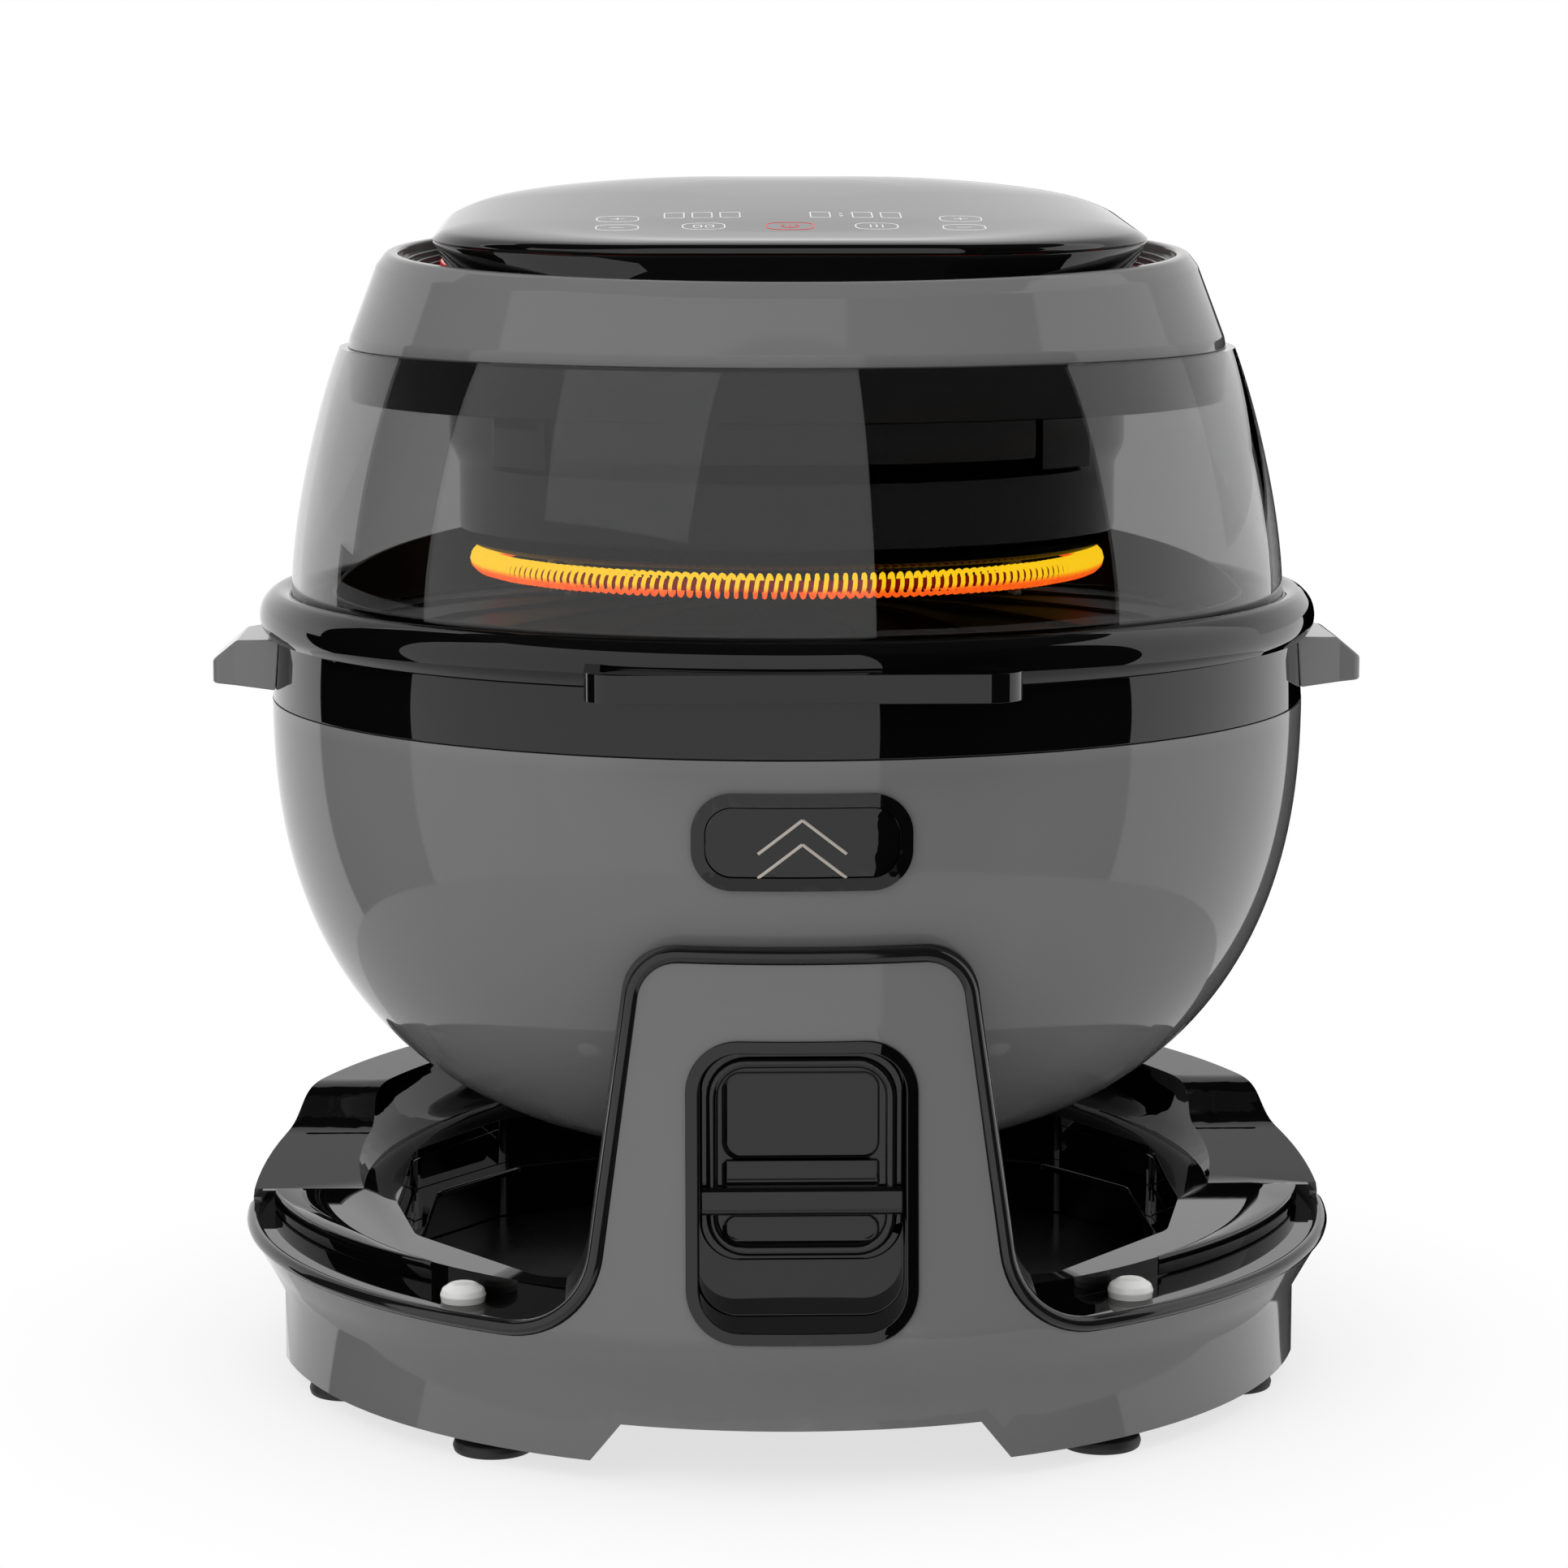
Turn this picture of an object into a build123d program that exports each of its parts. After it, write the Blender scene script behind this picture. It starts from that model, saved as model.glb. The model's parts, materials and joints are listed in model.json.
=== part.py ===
from build123d import *
import math
import os

os.makedirs("parts", exist_ok=True)

# Air fryer grill, millimetres. Origin on the floor below the middle of the whole object,
# +Z up, front towards -Y.

# Bowl and its rim band
bowl_radius = 180.0
bowl_top = 236.0
bowl_depth = 156.6
bowl_floor_height = 83.4
bowl_fall_power = 2.334
bowl_round_power = 2.823
bowl_wall = 2.6
lead_hole_radius = 8.0
lead_hole_height = 226.0
band_top = 258.4
band_top_radius = 178.4
band_wall = 8.0
band_ledge_radius = 162.0
band_ledge_top = 252.0
band_ledge_thickness = 4.0

# Side handles
handle_reach = 200.0
handle_half_length = 34.0
handle_bottom = 240.0
handle_inner_top = 258.0
handle_outer_top = 249.0

# Lid flange, gasket and front tab
lid_gap = 0.3
flange_radius = 184.0
flange_bulge_height = 265.6
flange_top = 273.8
flange_top_radius = 178.2
flange_inner_radius = 168.4
gasket_inner_radius = 171.0
gasket_width = 3.0
gasket_depth = 2.4
tab_width = 136.0
tab_front = 202.0
tab_root = 160.0
tab_bottom = 257.0
tab_top = 266.0
tab_corner = 12.0
tab_recess_depth = 1.5
tab_recess_border = 5.0

# Smoked dome
dome_foot = 270.0
dome_foot_radius = 172.8
dome_top = 357.0
dome_top_radius = 155.2
dome_wall = 3.0

# Lid deck under the collar
deck_ring_radius = 151.9
deck_ring_wall = 2.8
deck_ring_bottom = 339.0
lid_plate_thickness = 3.0
shaft_hole_radius = 5.0

# Collar and the stepped vent ring
collar_foot_radius = 152.2
collar_top = 387.6
collar_wall = 3.2
collar_mouth_radius = 134.5
vent_step_width = 2.7
vent_step_height = 1.5
vent_steps = 5
vent_thickness = 2.6
vent_lip = 0.6
vent_slot = 0.9
vent_spokes = 12
vent_spoke_width = 3.0
vent_drop = 0.8

# Control head
head_base_radius = 113.0
head_base_wall = 2.5
head_bottom = 385.0
head_bottom_width = 230.0
head_bottom_depth = 234.0
head_bottom_corner = 80.0
head_crease_width = 242.0
head_crease_depth = 230.0
head_crease_corner = 74.0
head_crease_height = 396.5
head_crease_tilt = 1.8
head_wall = 2.5
accent_inner_radius = 117.5
accent_width = 2.6

# Heater housing and heater ring
drum_radius = 117.5
drum_lower_radius = 114.3
drum_step_height = 319.0
drum_bottom = 288.6
drum_corner = 8.0
drum_wall = 2.0
drum_lip_inner_radius = 96.0
drum_clip_width = 18.0
drum_clip_height = 21.0
drum_clip_offset = 91.0
drum_clip_middle = 330.0
drum_clip_stand = 1.6
heater_ring_radius = 106.5
heater_coil_radius = 3.6
heater_wire = 1.7
heater_turns = 44
heater_gap_angle = 24.0
heater_core_radius = 1.9
heater_ring_height = 283.4
heater_clip_count = 4
heater_clip_width = 3.0

# Fan and motor
fan_radius = 70.0
fan_blades = 12
fan_blade_height = 14.0
fan_plate_height = 330.0
fan_plate_thickness = 1.2
fan_blade_inner = 26.0
fan_blade_thickness = 1.2
fan_hub_radius = 9.0
shaft_radius = 3.0
shaft_clearance = 0.05
cooling_fan_radius = 40.0
cooling_fan_blades = 8
cooling_fan_gap = 2.4
cooling_fan_height = 6.0
cooling_blade_width = 6.8
cooling_blade_pitch = 35.0
motor_radius = 28.0
motor_bottom = 367.0
motor_top = 383.0
motor_bore_depth = 10.0
bracket_thickness = 2.0
bracket_hole = 12.0
bracket_reach = 50.0
bracket_width = 10.0
bracket_leg_radius = 3.0

# Hinge
hinge_pin_radius = 2.5
hinge_height = 266.0
hinge_back = 192.5
hinge_knuckle_radius = 6.0
hinge_arm_width = 40.0
hinge_side_gap = 0.4
hinge_lug_width = 12.0
housing_width = 96.0
housing_back = 202.0
housing_bottom = 196.0
housing_top = 254.0
housing_corner = 14.0
housing_chin = 26.0
inlet_height = 222.0
inlet_width = 32.0
inlet_tall = 25.0
inlet_depth = 14.0
inlet_wall = 4.0
inlet_socket_depth = 11.0

# Cooking pot and grill plate
pot_rim_radius = 159.0
pot_floor = 103.0
pot_wall = 1.5
pot_front_rim = 273.0
pot_rear_rim = 290.0
pot_step_height = 256.0
plate_radius = 153.4
plate_edge = 262.0
plate_crown = 271.0
plate_thickness = 2.4
plate_ribs = 18
rib_width = 2.4
rib_stand = 1.6
rib_inner = 34.0
rib_margin = 6.0
plate_foot = 3.0
pot_lip_radius = 166.0
pot_neck = 152.0
pot_floor_radius = 96.0
pot_shoulders = ((118, 113), (132, 140), (142, 180), (149, 225))
pot_open_height = 300.0

# Release button on the bowl
button_width = 70.0
button_height = 31.2
button_middle = 210.2
button_corner = 13.0
button_border = 3.0
button_gap = 0.4
button_travel = 3.0
button_stand = 8.0
sleeve_wall = 1.2
sleeve_depth = 20.0
cap_inset = 7.0
stem_radius = 4.0
stem_gap = 0.4
guide_wall = 2.0
guide_depth = button_travel + 5.0
button_spring_radius = 7.0
spring_wall = 1.0
bezel_stand = 1.6

# Base stand
skirt_radius = 181.0
skirt_bottom = 7.0
skirt_flat = 176.0
flare_start = 31.0
rim_radius = 190.5
rim_bottom = 48.0
rim_top = 54.0
base_wall = 3.0
tower_top = 176.0
tower_top_half = 54.8
tower_foot_half = 71.5
tower_corner = 18.0
tower_fillet = 28.0
frame_wall = 3.0
frame_clearance = 0.5
tower_back = -146.0
bead = 5.0
bead_stand = 0.8
arch_top = 20.0
arch_half = 58.0
arch_foot_half = 68.0
deck_thickness = 3.0
front_deck = 57.0
plate_back = (210, 67.5)
shoulder_foot = (48, 66.2)
shoulder_ramp = ((57, 70), (62, 76))
shoulder_head = (74, 80.8)
shoulder_back = (210, 88)
dish_floor = 53.0
dish_floor_radius = 146.0
dish_side = ((154, 59.5), (159.5, 66), (163, 76))
dish_rim = (166, 92)
dish_open_height = 120.0
low_band = 50.0
crescent_radius = 166.0
crescent_shift = 8.0
opening_half = 138.0
opening_right = ((66, 108), (104, 92), (opening_half - 2, 48), (opening_half, -22), (129, -68), (84, -127))
opening_corner = 16.0
well_gap = 62.0
well_wall = 2.6
well_ledge = 9.0
well_ledge_height = 42.0
pan_height = 21.0
pan_thickness = 3.0
cradle_radius = 60.0
cradle_wall = 4.0
foot_radius = 13.5
foot_ring = 165.0
foot_angles = (37.5, 68.0)
bumper_radius = 7.6
bumper_height = 6.4
bumper_rim_height = 2.4
bumper_angle = 40.5
bumper_ring = 169.5
screw_radius = 3.0

# Latch on the tower
latch_width = 74.0
latch_height = 96.0
latch_bottom = 51.0
latch_corner = 17.0
latch_rim = 4.0
latch_depth = 12.0
latch_travel = 15.0
latch_gap = 0.5
latch_hole_inset = 1.5
bezel_lip_stand = 1.2
slot_gap = 1.0
slider_height = 68.0
slider_thickness = 5.0
grip_height = 9.0
grip_stand = 5.0
grip_from_bottom = 15.5
undercut_height = 8.0
undercut_depth = 1.2
lower_pocket_height = 9.0
lower_pocket_margin = 5.5
pocket_width = 49.0
pocket_depth = 2.2
tongue_width = 12.0
tongue_thickness = 4.0
tongue_slot_top = 123.0
tongue_stem_height = 7.0
tongue_top = 131.0
tongue_reach = 10.0
tongue_gap = 0.6
keeper_low = 122.0
keeper_high = 128.0
keeper_width = 26.0
tray_face = 183.0
tray_floor_thickness = 2.0
latch_spring_radius = 4.0
latch_spring_length = 26.0
spring_seat_thickness = 3.0


def lathe(*points):
    """A ring or disc turned about the Z axis from its corner points (radius, height)."""
    return revolve(Plane.XZ * make_face(Polyline(*points, close=True)), Axis.Z)


def turned(*edges):
    """A solid turned about the Z axis from the edges of its closed half section."""
    return revolve(Plane.XZ * make_face(Curve() + list(edges)), Axis.Z)


def tube(outer, inner, low, high):
    return lathe((inner, low), (outer, low), (outer, high), (inner, high))


def disc(radius, low, high):
    return Pos(0, 0, low) * Cylinder(radius, high - low, align=(Align.CENTER, Align.CENTER, Align.MIN))


def front_prism(outline, y_from, y_to):
    """An outline drawn in the front view, pushed through from y_from to y_to."""
    back = Plane(origin=(0, y_to, 0), x_dir=(1, 0, 0), z_dir=(0, -1, 0))
    return extrude(back * outline, amount=y_to - y_from)


def side_prism(outline, half_width):
    """An outline drawn in the side view (y, z), pushed through to both sides."""
    return extrude(Plane.YZ * outline, amount=half_width, both=True)


def block(x_from, x_to, y_from, y_to, low, high):
    size = (x_to - x_from, y_to - y_from, high - low)
    return Pos(x_from, y_from, low) * Box(*size, align=(Align.MIN, Align.MIN, Align.MIN))


def around(piece, count, start=0.0):
    """Copies of a piece, evenly spaced about the Z axis."""
    return [Rot(0, 0, start + 360.0 * index / count) * piece for index in range(count)]


nodes = {}


def keep(name, *pieces):
    """Store one node, made of one solid or of several separate ones."""
    solids = [solid for piece in pieces for solid in piece.solids()]
    nodes[name] = solids[0] if len(solids) == 1 else Compound(children=solids)


def bowl_profile(inset):
    """Half section of the bowl's outside from its flat floor to its top, set in by a wall."""
    steps = 9
    floor = bowl_floor_height + inset
    points = []
    for index in range(steps + 1):
        share = index / steps
        height = floor + (bowl_top - floor) * share
        drop = (bowl_top - height) / (bowl_depth - inset)
        radius = (bowl_radius - inset) * (1 - drop ** bowl_fall_power) ** (1 / bowl_round_power)
        points.append((radius, height))
    return points


def bowl_body(inset):
    """The bowl's outside as a full body, made smaller or larger by inset."""
    points = bowl_profile(inset)
    low, high = points[0], points[-1]
    return turned(
        Spline(*points), Line(high, (0, high[1])), Line((0, high[1]), (0, low[1])), Line((0, low[1]), low)
    )


def band_body(extra):
    return lathe((0, bowl_top), (bowl_radius + extra, bowl_top),
                 (band_top_radius + extra, band_top), (0, band_top))


# Bowl shell with its openings for the button and for the leads at the back
bowl_outside = bowl_body(0)
button_outline = Pos(0, button_middle) * RectangleRounded(button_width, button_height, button_corner)
button_hole_outline = offset(button_outline, amount=-button_border)
lead_hole = Pos(0, bowl_radius, lead_hole_height) * Rot(90, 0, 0) * Cylinder(lead_hole_radius, 40)
bowl_shell = bowl_outside - bowl_body(bowl_wall)
bowl_shell -= front_prism(button_hole_outline, -bowl_radius - 5, -bowl_radius + 25)
bowl_shell -= lead_hole
keep("bowl_shell", bowl_shell)

# Rim band with the ledge that carries the pot
band_inner = band_top_radius - band_wall
rim_band = lathe(
    (bowl_radius - bowl_wall - 0.4, bowl_top),
    (bowl_radius, bowl_top),
    (band_top_radius, band_top),
    (band_inner, band_top),
    (band_inner, band_ledge_top),
    (band_ledge_radius, band_ledge_top),
    (band_ledge_radius, band_ledge_top - band_ledge_thickness),
    (band_inner, band_ledge_top - band_ledge_thickness),
)
keep("rim_band", rim_band)


def side_handle(side):
    """A wedge-shaped ear that stands out from the rim band."""
    root = bowl_radius - 6
    plan = make_face(Polyline(
        (root, -handle_half_length), (handle_reach - 8, -handle_half_length * 0.62),
        (handle_reach, -handle_half_length * 0.5), (handle_reach, handle_half_length * 0.5),
        (handle_reach - 8, handle_half_length * 0.62), (root, handle_half_length), close=True))
    plan = fillet(plan.vertices().group_by(Axis.X)[-1], 5)
    profile = make_face(Polyline(
        (root, handle_bottom), (handle_reach, handle_bottom + 1), (handle_reach, handle_outer_top),
        (handle_reach - 9, handle_inner_top - 1.5), (root, handle_inner_top), close=True))
    ear = extrude(Pos(0, 0, handle_bottom - 2) * plan, amount=handle_inner_top - handle_bottom + 4)
    ear &= front_prism(profile, -handle_half_length - 1, handle_half_length + 1)
    ear -= band_body(0)
    return ear if side > 0 else Rot(0, 0, 180) * ear


keep("handle_right", side_handle(1))
keep("handle_left", side_handle(-1))

# Release button: bezel, cap, guide and spring
button_front = bowl_radius + button_stand
bezel_ring = front_prism(button_outline - button_hole_outline, -button_front, -bowl_radius + 14)
bezel_skin = bowl_body(-bezel_stand) - bowl_outside
button_bezel = bezel_ring & bezel_skin
sleeve_room = offset(button_outline, amount=-button_border - sleeve_wall)
sleeve_back = -bowl_radius + sleeve_depth
sleeve = front_prism(button_hole_outline - sleeve_room, -button_front, sleeve_back) & bowl_body(-bezel_stand)
keep("button_bezel", button_bezel + sleeve)

guide_back = sleeve_back + guide_depth
cap_back = sleeve_back - cap_inset
cap_outline = offset(sleeve_room, amount=-button_gap)
cap = front_prism(cap_outline, -button_front, cap_back) & bowl_body(-bezel_stand + 0.6)
stem_length = guide_back - stem_gap - cap_back
stem = Pos(0, cap_back + stem_length / 2, button_middle) * Rot(90, 0, 0) * Cylinder(stem_radius, stem_length)
keep("release_button", cap + stem)

guide_cup = front_prism(button_hole_outline, sleeve_back, guide_back)
guide_room = offset(button_hole_outline, amount=-guide_wall)
guide_pocket = front_prism(guide_room, sleeve_back - 1, guide_back - guide_wall)
guide_bore = Cylinder(stem_radius + stem_gap, 4 * guide_wall)
guide_bore = Pos(0, guide_back, button_middle) * Rot(90, 0, 0) * guide_bore
keep("button_guide", guide_cup - guide_pocket - guide_bore)

button_spring_length = guide_back - guide_wall - cap_back
button_spring = Cylinder(button_spring_radius, button_spring_length) - Cylinder(
    button_spring_radius - spring_wall, button_spring_length)
button_spring_place = Pos(0, cap_back + button_spring_length / 2, button_middle)
keep("button_spring", button_spring_place * Rot(90, 0, 0) * button_spring)

# Cooking pot: deep pot with a lip on the ledge and a collar that rises towards the back
pot_lip_top = band_ledge_top + pot_wall
pot_fit = 0.4
pot_inner_floor = pot_floor + pot_wall
pot_outside = turned(
    Line((0, pot_floor), (pot_floor_radius, pot_floor)),
    Spline((pot_floor_radius, pot_floor), *pot_shoulders, (pot_neck, band_ledge_top)),
    Polyline((pot_neck, band_ledge_top), (pot_lip_radius, band_ledge_top), (pot_lip_radius, pot_lip_top),
             (pot_neck + 1, pot_lip_top), (pot_rim_radius - 1, plate_edge), (pot_rim_radius, pot_open_height),
             (0, pot_open_height), (0, pot_floor)),
)
pot_inside = turned(
    Line((0, pot_inner_floor), (pot_floor_radius - 1, pot_inner_floor)),
    Spline((pot_floor_radius - 1, pot_inner_floor),
           *[(radius - pot_wall - 0.3, height + 0.5) for radius, height in pot_shoulders],
           (pot_neck - pot_wall, pot_step_height)),
    Polyline((pot_neck - pot_wall, pot_step_height), (plate_radius + pot_fit, pot_step_height),
             (pot_rim_radius - 1 - pot_wall, plate_edge + 2), (pot_rim_radius - pot_wall, pot_open_height),
             (0, pot_open_height), (0, pot_inner_floor)),
)
rim_cut = side_prism(make_face(Polyline(
    (-200, pot_front_rim), (0, pot_front_rim), (pot_rim_radius, pot_rear_rim),
    (200, pot_rear_rim + 4), (200, 320), (-200, 320), close=True)), 200)
keep("cooking_pot", pot_outside - pot_inside - rim_cut)

# Grill plate: shallow dome with radial ribs, its edge on the pot's inner step
plate_rise = plate_crown - plate_edge
outer_shoulder = (plate_radius * 0.8, plate_edge + plate_rise * 0.5)
inner_shoulder = (plate_radius * 0.5, plate_edge + plate_rise * 0.88)


def plate_body(radius, drop):
    """The plate's domed top as a full body down to the pot's step, its surface lowered by drop."""
    return turned(
        Polyline((0, pot_step_height), (radius, pot_step_height), (radius, plate_edge - drop)),
        Spline((radius, plate_edge - drop), (outer_shoulder[0], outer_shoulder[1] - drop),
               (inner_shoulder[0], inner_shoulder[1] - drop), (0, plate_crown - drop),
               tangents=((-1, 0.12), (-1, 0))),
        Line((0, plate_crown - drop), (0, pot_step_height)),
    )


rib_outer = plate_radius - rib_margin
rib_profile = make_face(Polyline(
    (rib_inner, plate_crown - plate_thickness - rib_stand), (rib_outer, pot_step_height + 1),
    (rib_outer, plate_edge + rib_stand), (outer_shoulder[0], outer_shoulder[1] + rib_stand),
    (inner_shoulder[0], inner_shoulder[1] + rib_stand),
    (rib_inner, plate_crown + rib_stand * 0.4), close=True))
rib = front_prism(rib_profile, -rib_width / 2, rib_width / 2)
plate_outside = plate_body(plate_radius, 0)
plate_inside = plate_body(plate_radius - plate_thickness - plate_foot, plate_thickness)
keep("grill_plate", plate_outside + around(rib, plate_ribs) - plate_inside)

# Lid flange: half-round rim with a step for the dome and a groove for the gasket
flange_bottom = band_top + lid_gap
flange_body = turned(
    Line((flange_inner_radius, flange_bottom), (181.5, flange_bottom)),
    ThreePointArc((181.5, flange_bottom), (flange_radius, flange_bulge_height),
                  (flange_top_radius, flange_top)),
    Polyline((flange_top_radius, flange_top), (dome_foot_radius + 0.2, flange_top - 1.2),
             (dome_foot_radius + 0.2, dome_foot), (flange_inner_radius, dome_foot),
             (flange_inner_radius, flange_bottom)),
)
gasket_groove = tube(gasket_inner_radius + gasket_width, gasket_inner_radius,
                     flange_bottom, flange_bottom + gasket_depth)
lid_flange = flange_body - gasket_groove
keep("lid_gasket", gasket_groove)

# Front tab of the lid
tab_plan = Pos(0, -(tab_front + tab_root) / 2) * RectangleRounded(tab_width, tab_front - tab_root, tab_corner)
lid_tab = extrude(Pos(0, 0, tab_bottom) * tab_plan, amount=tab_top - tab_bottom)
tab_recess = extrude(
    Pos(0, 0, tab_top - tab_recess_depth) * offset(tab_plan, amount=-tab_recess_border), amount=5)
lid_tab -= tab_recess
lid_tab -= disc(flange_radius - 4.0, tab_bottom - 1, tab_top + 1)
lid_tab -= flange_body
keep("lid_tab", lid_tab)
keep("lid_flange", lid_flange)

# Smoked dome
dome_points = [(dome_foot_radius, dome_foot), (172.5, 286), (169.5, 303), (164.7, 325.7), (158.9, 347),
               (dome_top_radius, dome_top)]
dome_outer = Spline(*dome_points)
dome_inner = Spline(*[(radius - dome_wall, height) for radius, height in dome_points])
dome = turned(
    dome_outer,
    Line((dome_top_radius, dome_top), (dome_top_radius - dome_wall, dome_top)),
    dome_inner,
    Line((dome_foot_radius - dome_wall, dome_foot), (dome_foot_radius, dome_foot)),
)
keep("dome", dome)

# Lid deck: plate and skirt inside the top of the dome
plate_low = dome_top - lid_plate_thickness
lid_deck = lathe(
    (shaft_hole_radius, plate_low), (deck_ring_radius - deck_ring_wall, plate_low),
    (deck_ring_radius - deck_ring_wall, deck_ring_bottom), (deck_ring_radius, deck_ring_bottom),
    (deck_ring_radius, dome_top), (shaft_hole_radius, dome_top))
keep("lid_deck", lid_deck)

# Collar
collar_outer = [(collar_foot_radius, dome_top), (151.4, 361), (148.0, 370), (143.2, 380.6), (140.6, 384.6)]
collar = turned(
    Spline(*collar_outer),
    ThreePointArc((140.6, 384.6), (138.6, collar_top - 0.8), (136.2, collar_top)),
    Polyline((136.2, collar_top), (collar_mouth_radius, collar_top - 0.6),
             (collar_mouth_radius, collar_top - 4.0), (139.0, 380.0), (144.4, 369), (148.6, 360.0),
             (collar_foot_radius - collar_wall, dome_top), (collar_foot_radius, dome_top)),
)
keep("collar", collar)

# Stepped vent ring between collar and head
vent_outer = collar_mouth_radius
vent_top = head_bottom - vent_drop
vent_inner = accent_inner_radius - 1.0
vent_upper, vent_lower = [], []
for step in range(vent_steps):
    high = vent_top - step * vent_step_height
    edge_out = vent_outer - step * vent_step_width
    edge_in = edge_out - vent_step_width if step < vent_steps - 1 else vent_inner
    vent_upper += [(edge_out, high), (edge_in, high)]
    vent_lower += [(edge_out, high - vent_thickness), (edge_in, high - vent_thickness)]
vent_ring = lathe(*vent_upper, *reversed(vent_lower))
spoke_half = vent_spoke_width / 2
spokes = around(block(vent_inner, vent_outer, -spoke_half, spoke_half, 360, 400), vent_spokes)
for step in range(vent_steps - 1):
    slot_outer = vent_outer - (step + 1) * vent_step_width + vent_slot + vent_lip
    vent_ring -= tube(slot_outer, slot_outer - vent_slot, 360, 400) - spokes
keep("vent_ring", vent_ring)

# Red accent ring under the head
accent_low = vent_top - (vent_steps - 1) * vent_step_height
accent_outer_radius = accent_inner_radius + accent_width
keep("accent_ring", tube(accent_outer_radius, accent_inner_radius, accent_low, head_bottom - lid_gap))

# Head base: neck and top plate that carry the head
head_base = tube(head_base_radius, head_base_radius - head_base_wall, dome_top, head_bottom)
head_base += tube(head_base_radius, motor_radius + 4, head_bottom - 1.6, head_bottom)
keep("head_base", head_base)


def head_section(width, depth, corner, middle, height, tilt):
    """A rounded rectangle across the head, its back tilted up."""
    return Pos(0, middle, height) * Rot(tilt, 0, 0) * RectangleRounded(width, depth, corner)


def head_loft(sections):
    return loft([section.face() for section in sections])


def crease_section(inset, lift=0.0):
    return head_section(head_crease_width - 2 * inset, head_crease_depth - 2 * inset,
                        head_crease_corner - inset, 3, head_crease_height + lift, head_crease_tilt)


def bottom_section(inset, lift):
    return head_section(head_bottom_width - 2 * inset, head_bottom_depth - 2 * inset,
                        head_bottom_corner - inset, -1, head_bottom + lift, 0)


head_housing = head_loft([bottom_section(0, 0), crease_section(0)])
head_housing -= head_loft([bottom_section(head_wall, head_wall), crease_section(head_wall)])
keep("head_housing", head_housing)

# The cover's crown: width, depth, corner, middle, height and tilt of each section above the crease
crown_sections = [(231, 219, 71, -1, 400.6, 3.2), (204, 197, 64, -6, 404.0, 4.8),
                  (154, 166, 52, -12, 405.4, 6.2), (92, 130, 38, -15, 405.9, 6.9)]
control_cover = head_loft([crease_section(0)] + [head_section(*section) for section in crown_sections])
cover_roof = head_section(150, 150, 50, -12, 402.0, 6.2)
cover_room = loft([crease_section(head_wall).face(), cover_roof.face()], ruled=True)
keep("control_cover", control_cover - cover_room)

# Control board on posts inside the head, with the display block and touch pads on it
board_low = 393.0
board_width, board_depth, board_middle = 150.0, 70.0, -40.0
board_thickness = 1.6
board_plan = Pos(0, board_middle, board_low) * Rectangle(board_width, board_depth)
board = extrude(board_plan, amount=board_thickness)
board_posts = [
    Pos(x, board_middle + y, head_bottom + head_wall) * Cylinder(
        3, board_low - head_bottom - head_wall, align=(Align.CENTER, Align.CENTER, Align.MIN))
    for x in (-board_width / 2 + 5, board_width / 2 - 5) for y in (-board_depth / 2 + 5, board_depth / 2 - 5)
]
keep("control_board", board + board_posts)
display_low = board_low + board_thickness
display = [block(x - 14, x + 14, board_middle + 2, board_middle + 14, display_low, display_low + 2)
           for x in (-27, 23)]
keep("display_module", *display)

# Heater housing: drum with a rounded lower edge, an inward lip and two clips
drum_outside = turned(
    Polyline((0, plate_low), (drum_radius, plate_low), (drum_radius, drum_step_height + 5),
             (drum_lower_radius, drum_step_height - 2), (drum_lower_radius, drum_bottom + drum_corner)),
    ThreePointArc((drum_lower_radius, drum_bottom + drum_corner),
                  (drum_lower_radius - drum_corner * (1 - math.sqrt(0.5)),
                   drum_bottom + drum_corner * (1 - math.sqrt(0.5))),
                  (drum_lower_radius - drum_corner, drum_bottom)),
    Polyline((drum_lower_radius - drum_corner, drum_bottom), (0, drum_bottom), (0, plate_low)),
)
drum_inside = lathe(
    (0, plate_low - drum_wall), (drum_radius - drum_wall, plate_low - drum_wall),
    (drum_radius - drum_wall, drum_step_height + 5), (drum_lower_radius - drum_wall, drum_step_height - 2),
    (drum_lower_radius - drum_wall, drum_bottom + drum_corner),
    (drum_lower_radius - drum_corner, drum_bottom + drum_wall), (0, drum_bottom + drum_wall))
drum_mouth = disc(drum_lip_inner_radius, drum_bottom - 1, drum_bottom + drum_wall + 1)
drum_top_hole = disc(shaft_hole_radius, plate_low - drum_wall - 1, plate_low + 1)
clip_skin = tube(drum_radius + drum_clip_stand, drum_radius - 0.5,
                 drum_clip_middle - drum_clip_height / 2, drum_clip_middle + drum_clip_height / 2)
clips = [clip_skin & block(x - drum_clip_width / 2, x + drum_clip_width / 2, -drum_radius - 5, 0, 300, 350)
         for x in (-drum_clip_offset, drum_clip_offset)]
drum = drum_outside + clips - drum_inside - drum_mouth - drum_top_hole
keep("heater_housing", drum)

# Fan guard in the mouth of the drum
guard_radius = drum_lip_inner_radius - 0.05
guard_low, guard_high = drum_bottom, drum_bottom + 1.6
guard_rings = [tube(outer, outer - 2.2, guard_low, guard_high) for outer in (guard_radius, 74, 52, 30)]
guard_bar = block(28.5, guard_radius - 1, -1.1, 1.1, guard_low, guard_high)
keep("fan_guard", guard_rings[0] + guard_rings[1:] + around(guard_bar, 8))

# Heater core ring, its clips and terminal block
half_gap = math.radians(heater_gap_angle / 2)
core_sweep = 360 - heater_gap_angle
core_circle = Plane.XZ * Pos(heater_ring_radius, heater_ring_height) * Circle(heater_core_radius)
heater_core = Rot(0, 0, 90 + heater_gap_angle / 2) * revolve(core_circle, Axis.Z, core_sweep)
keep("heater_core", heater_core)

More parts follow.
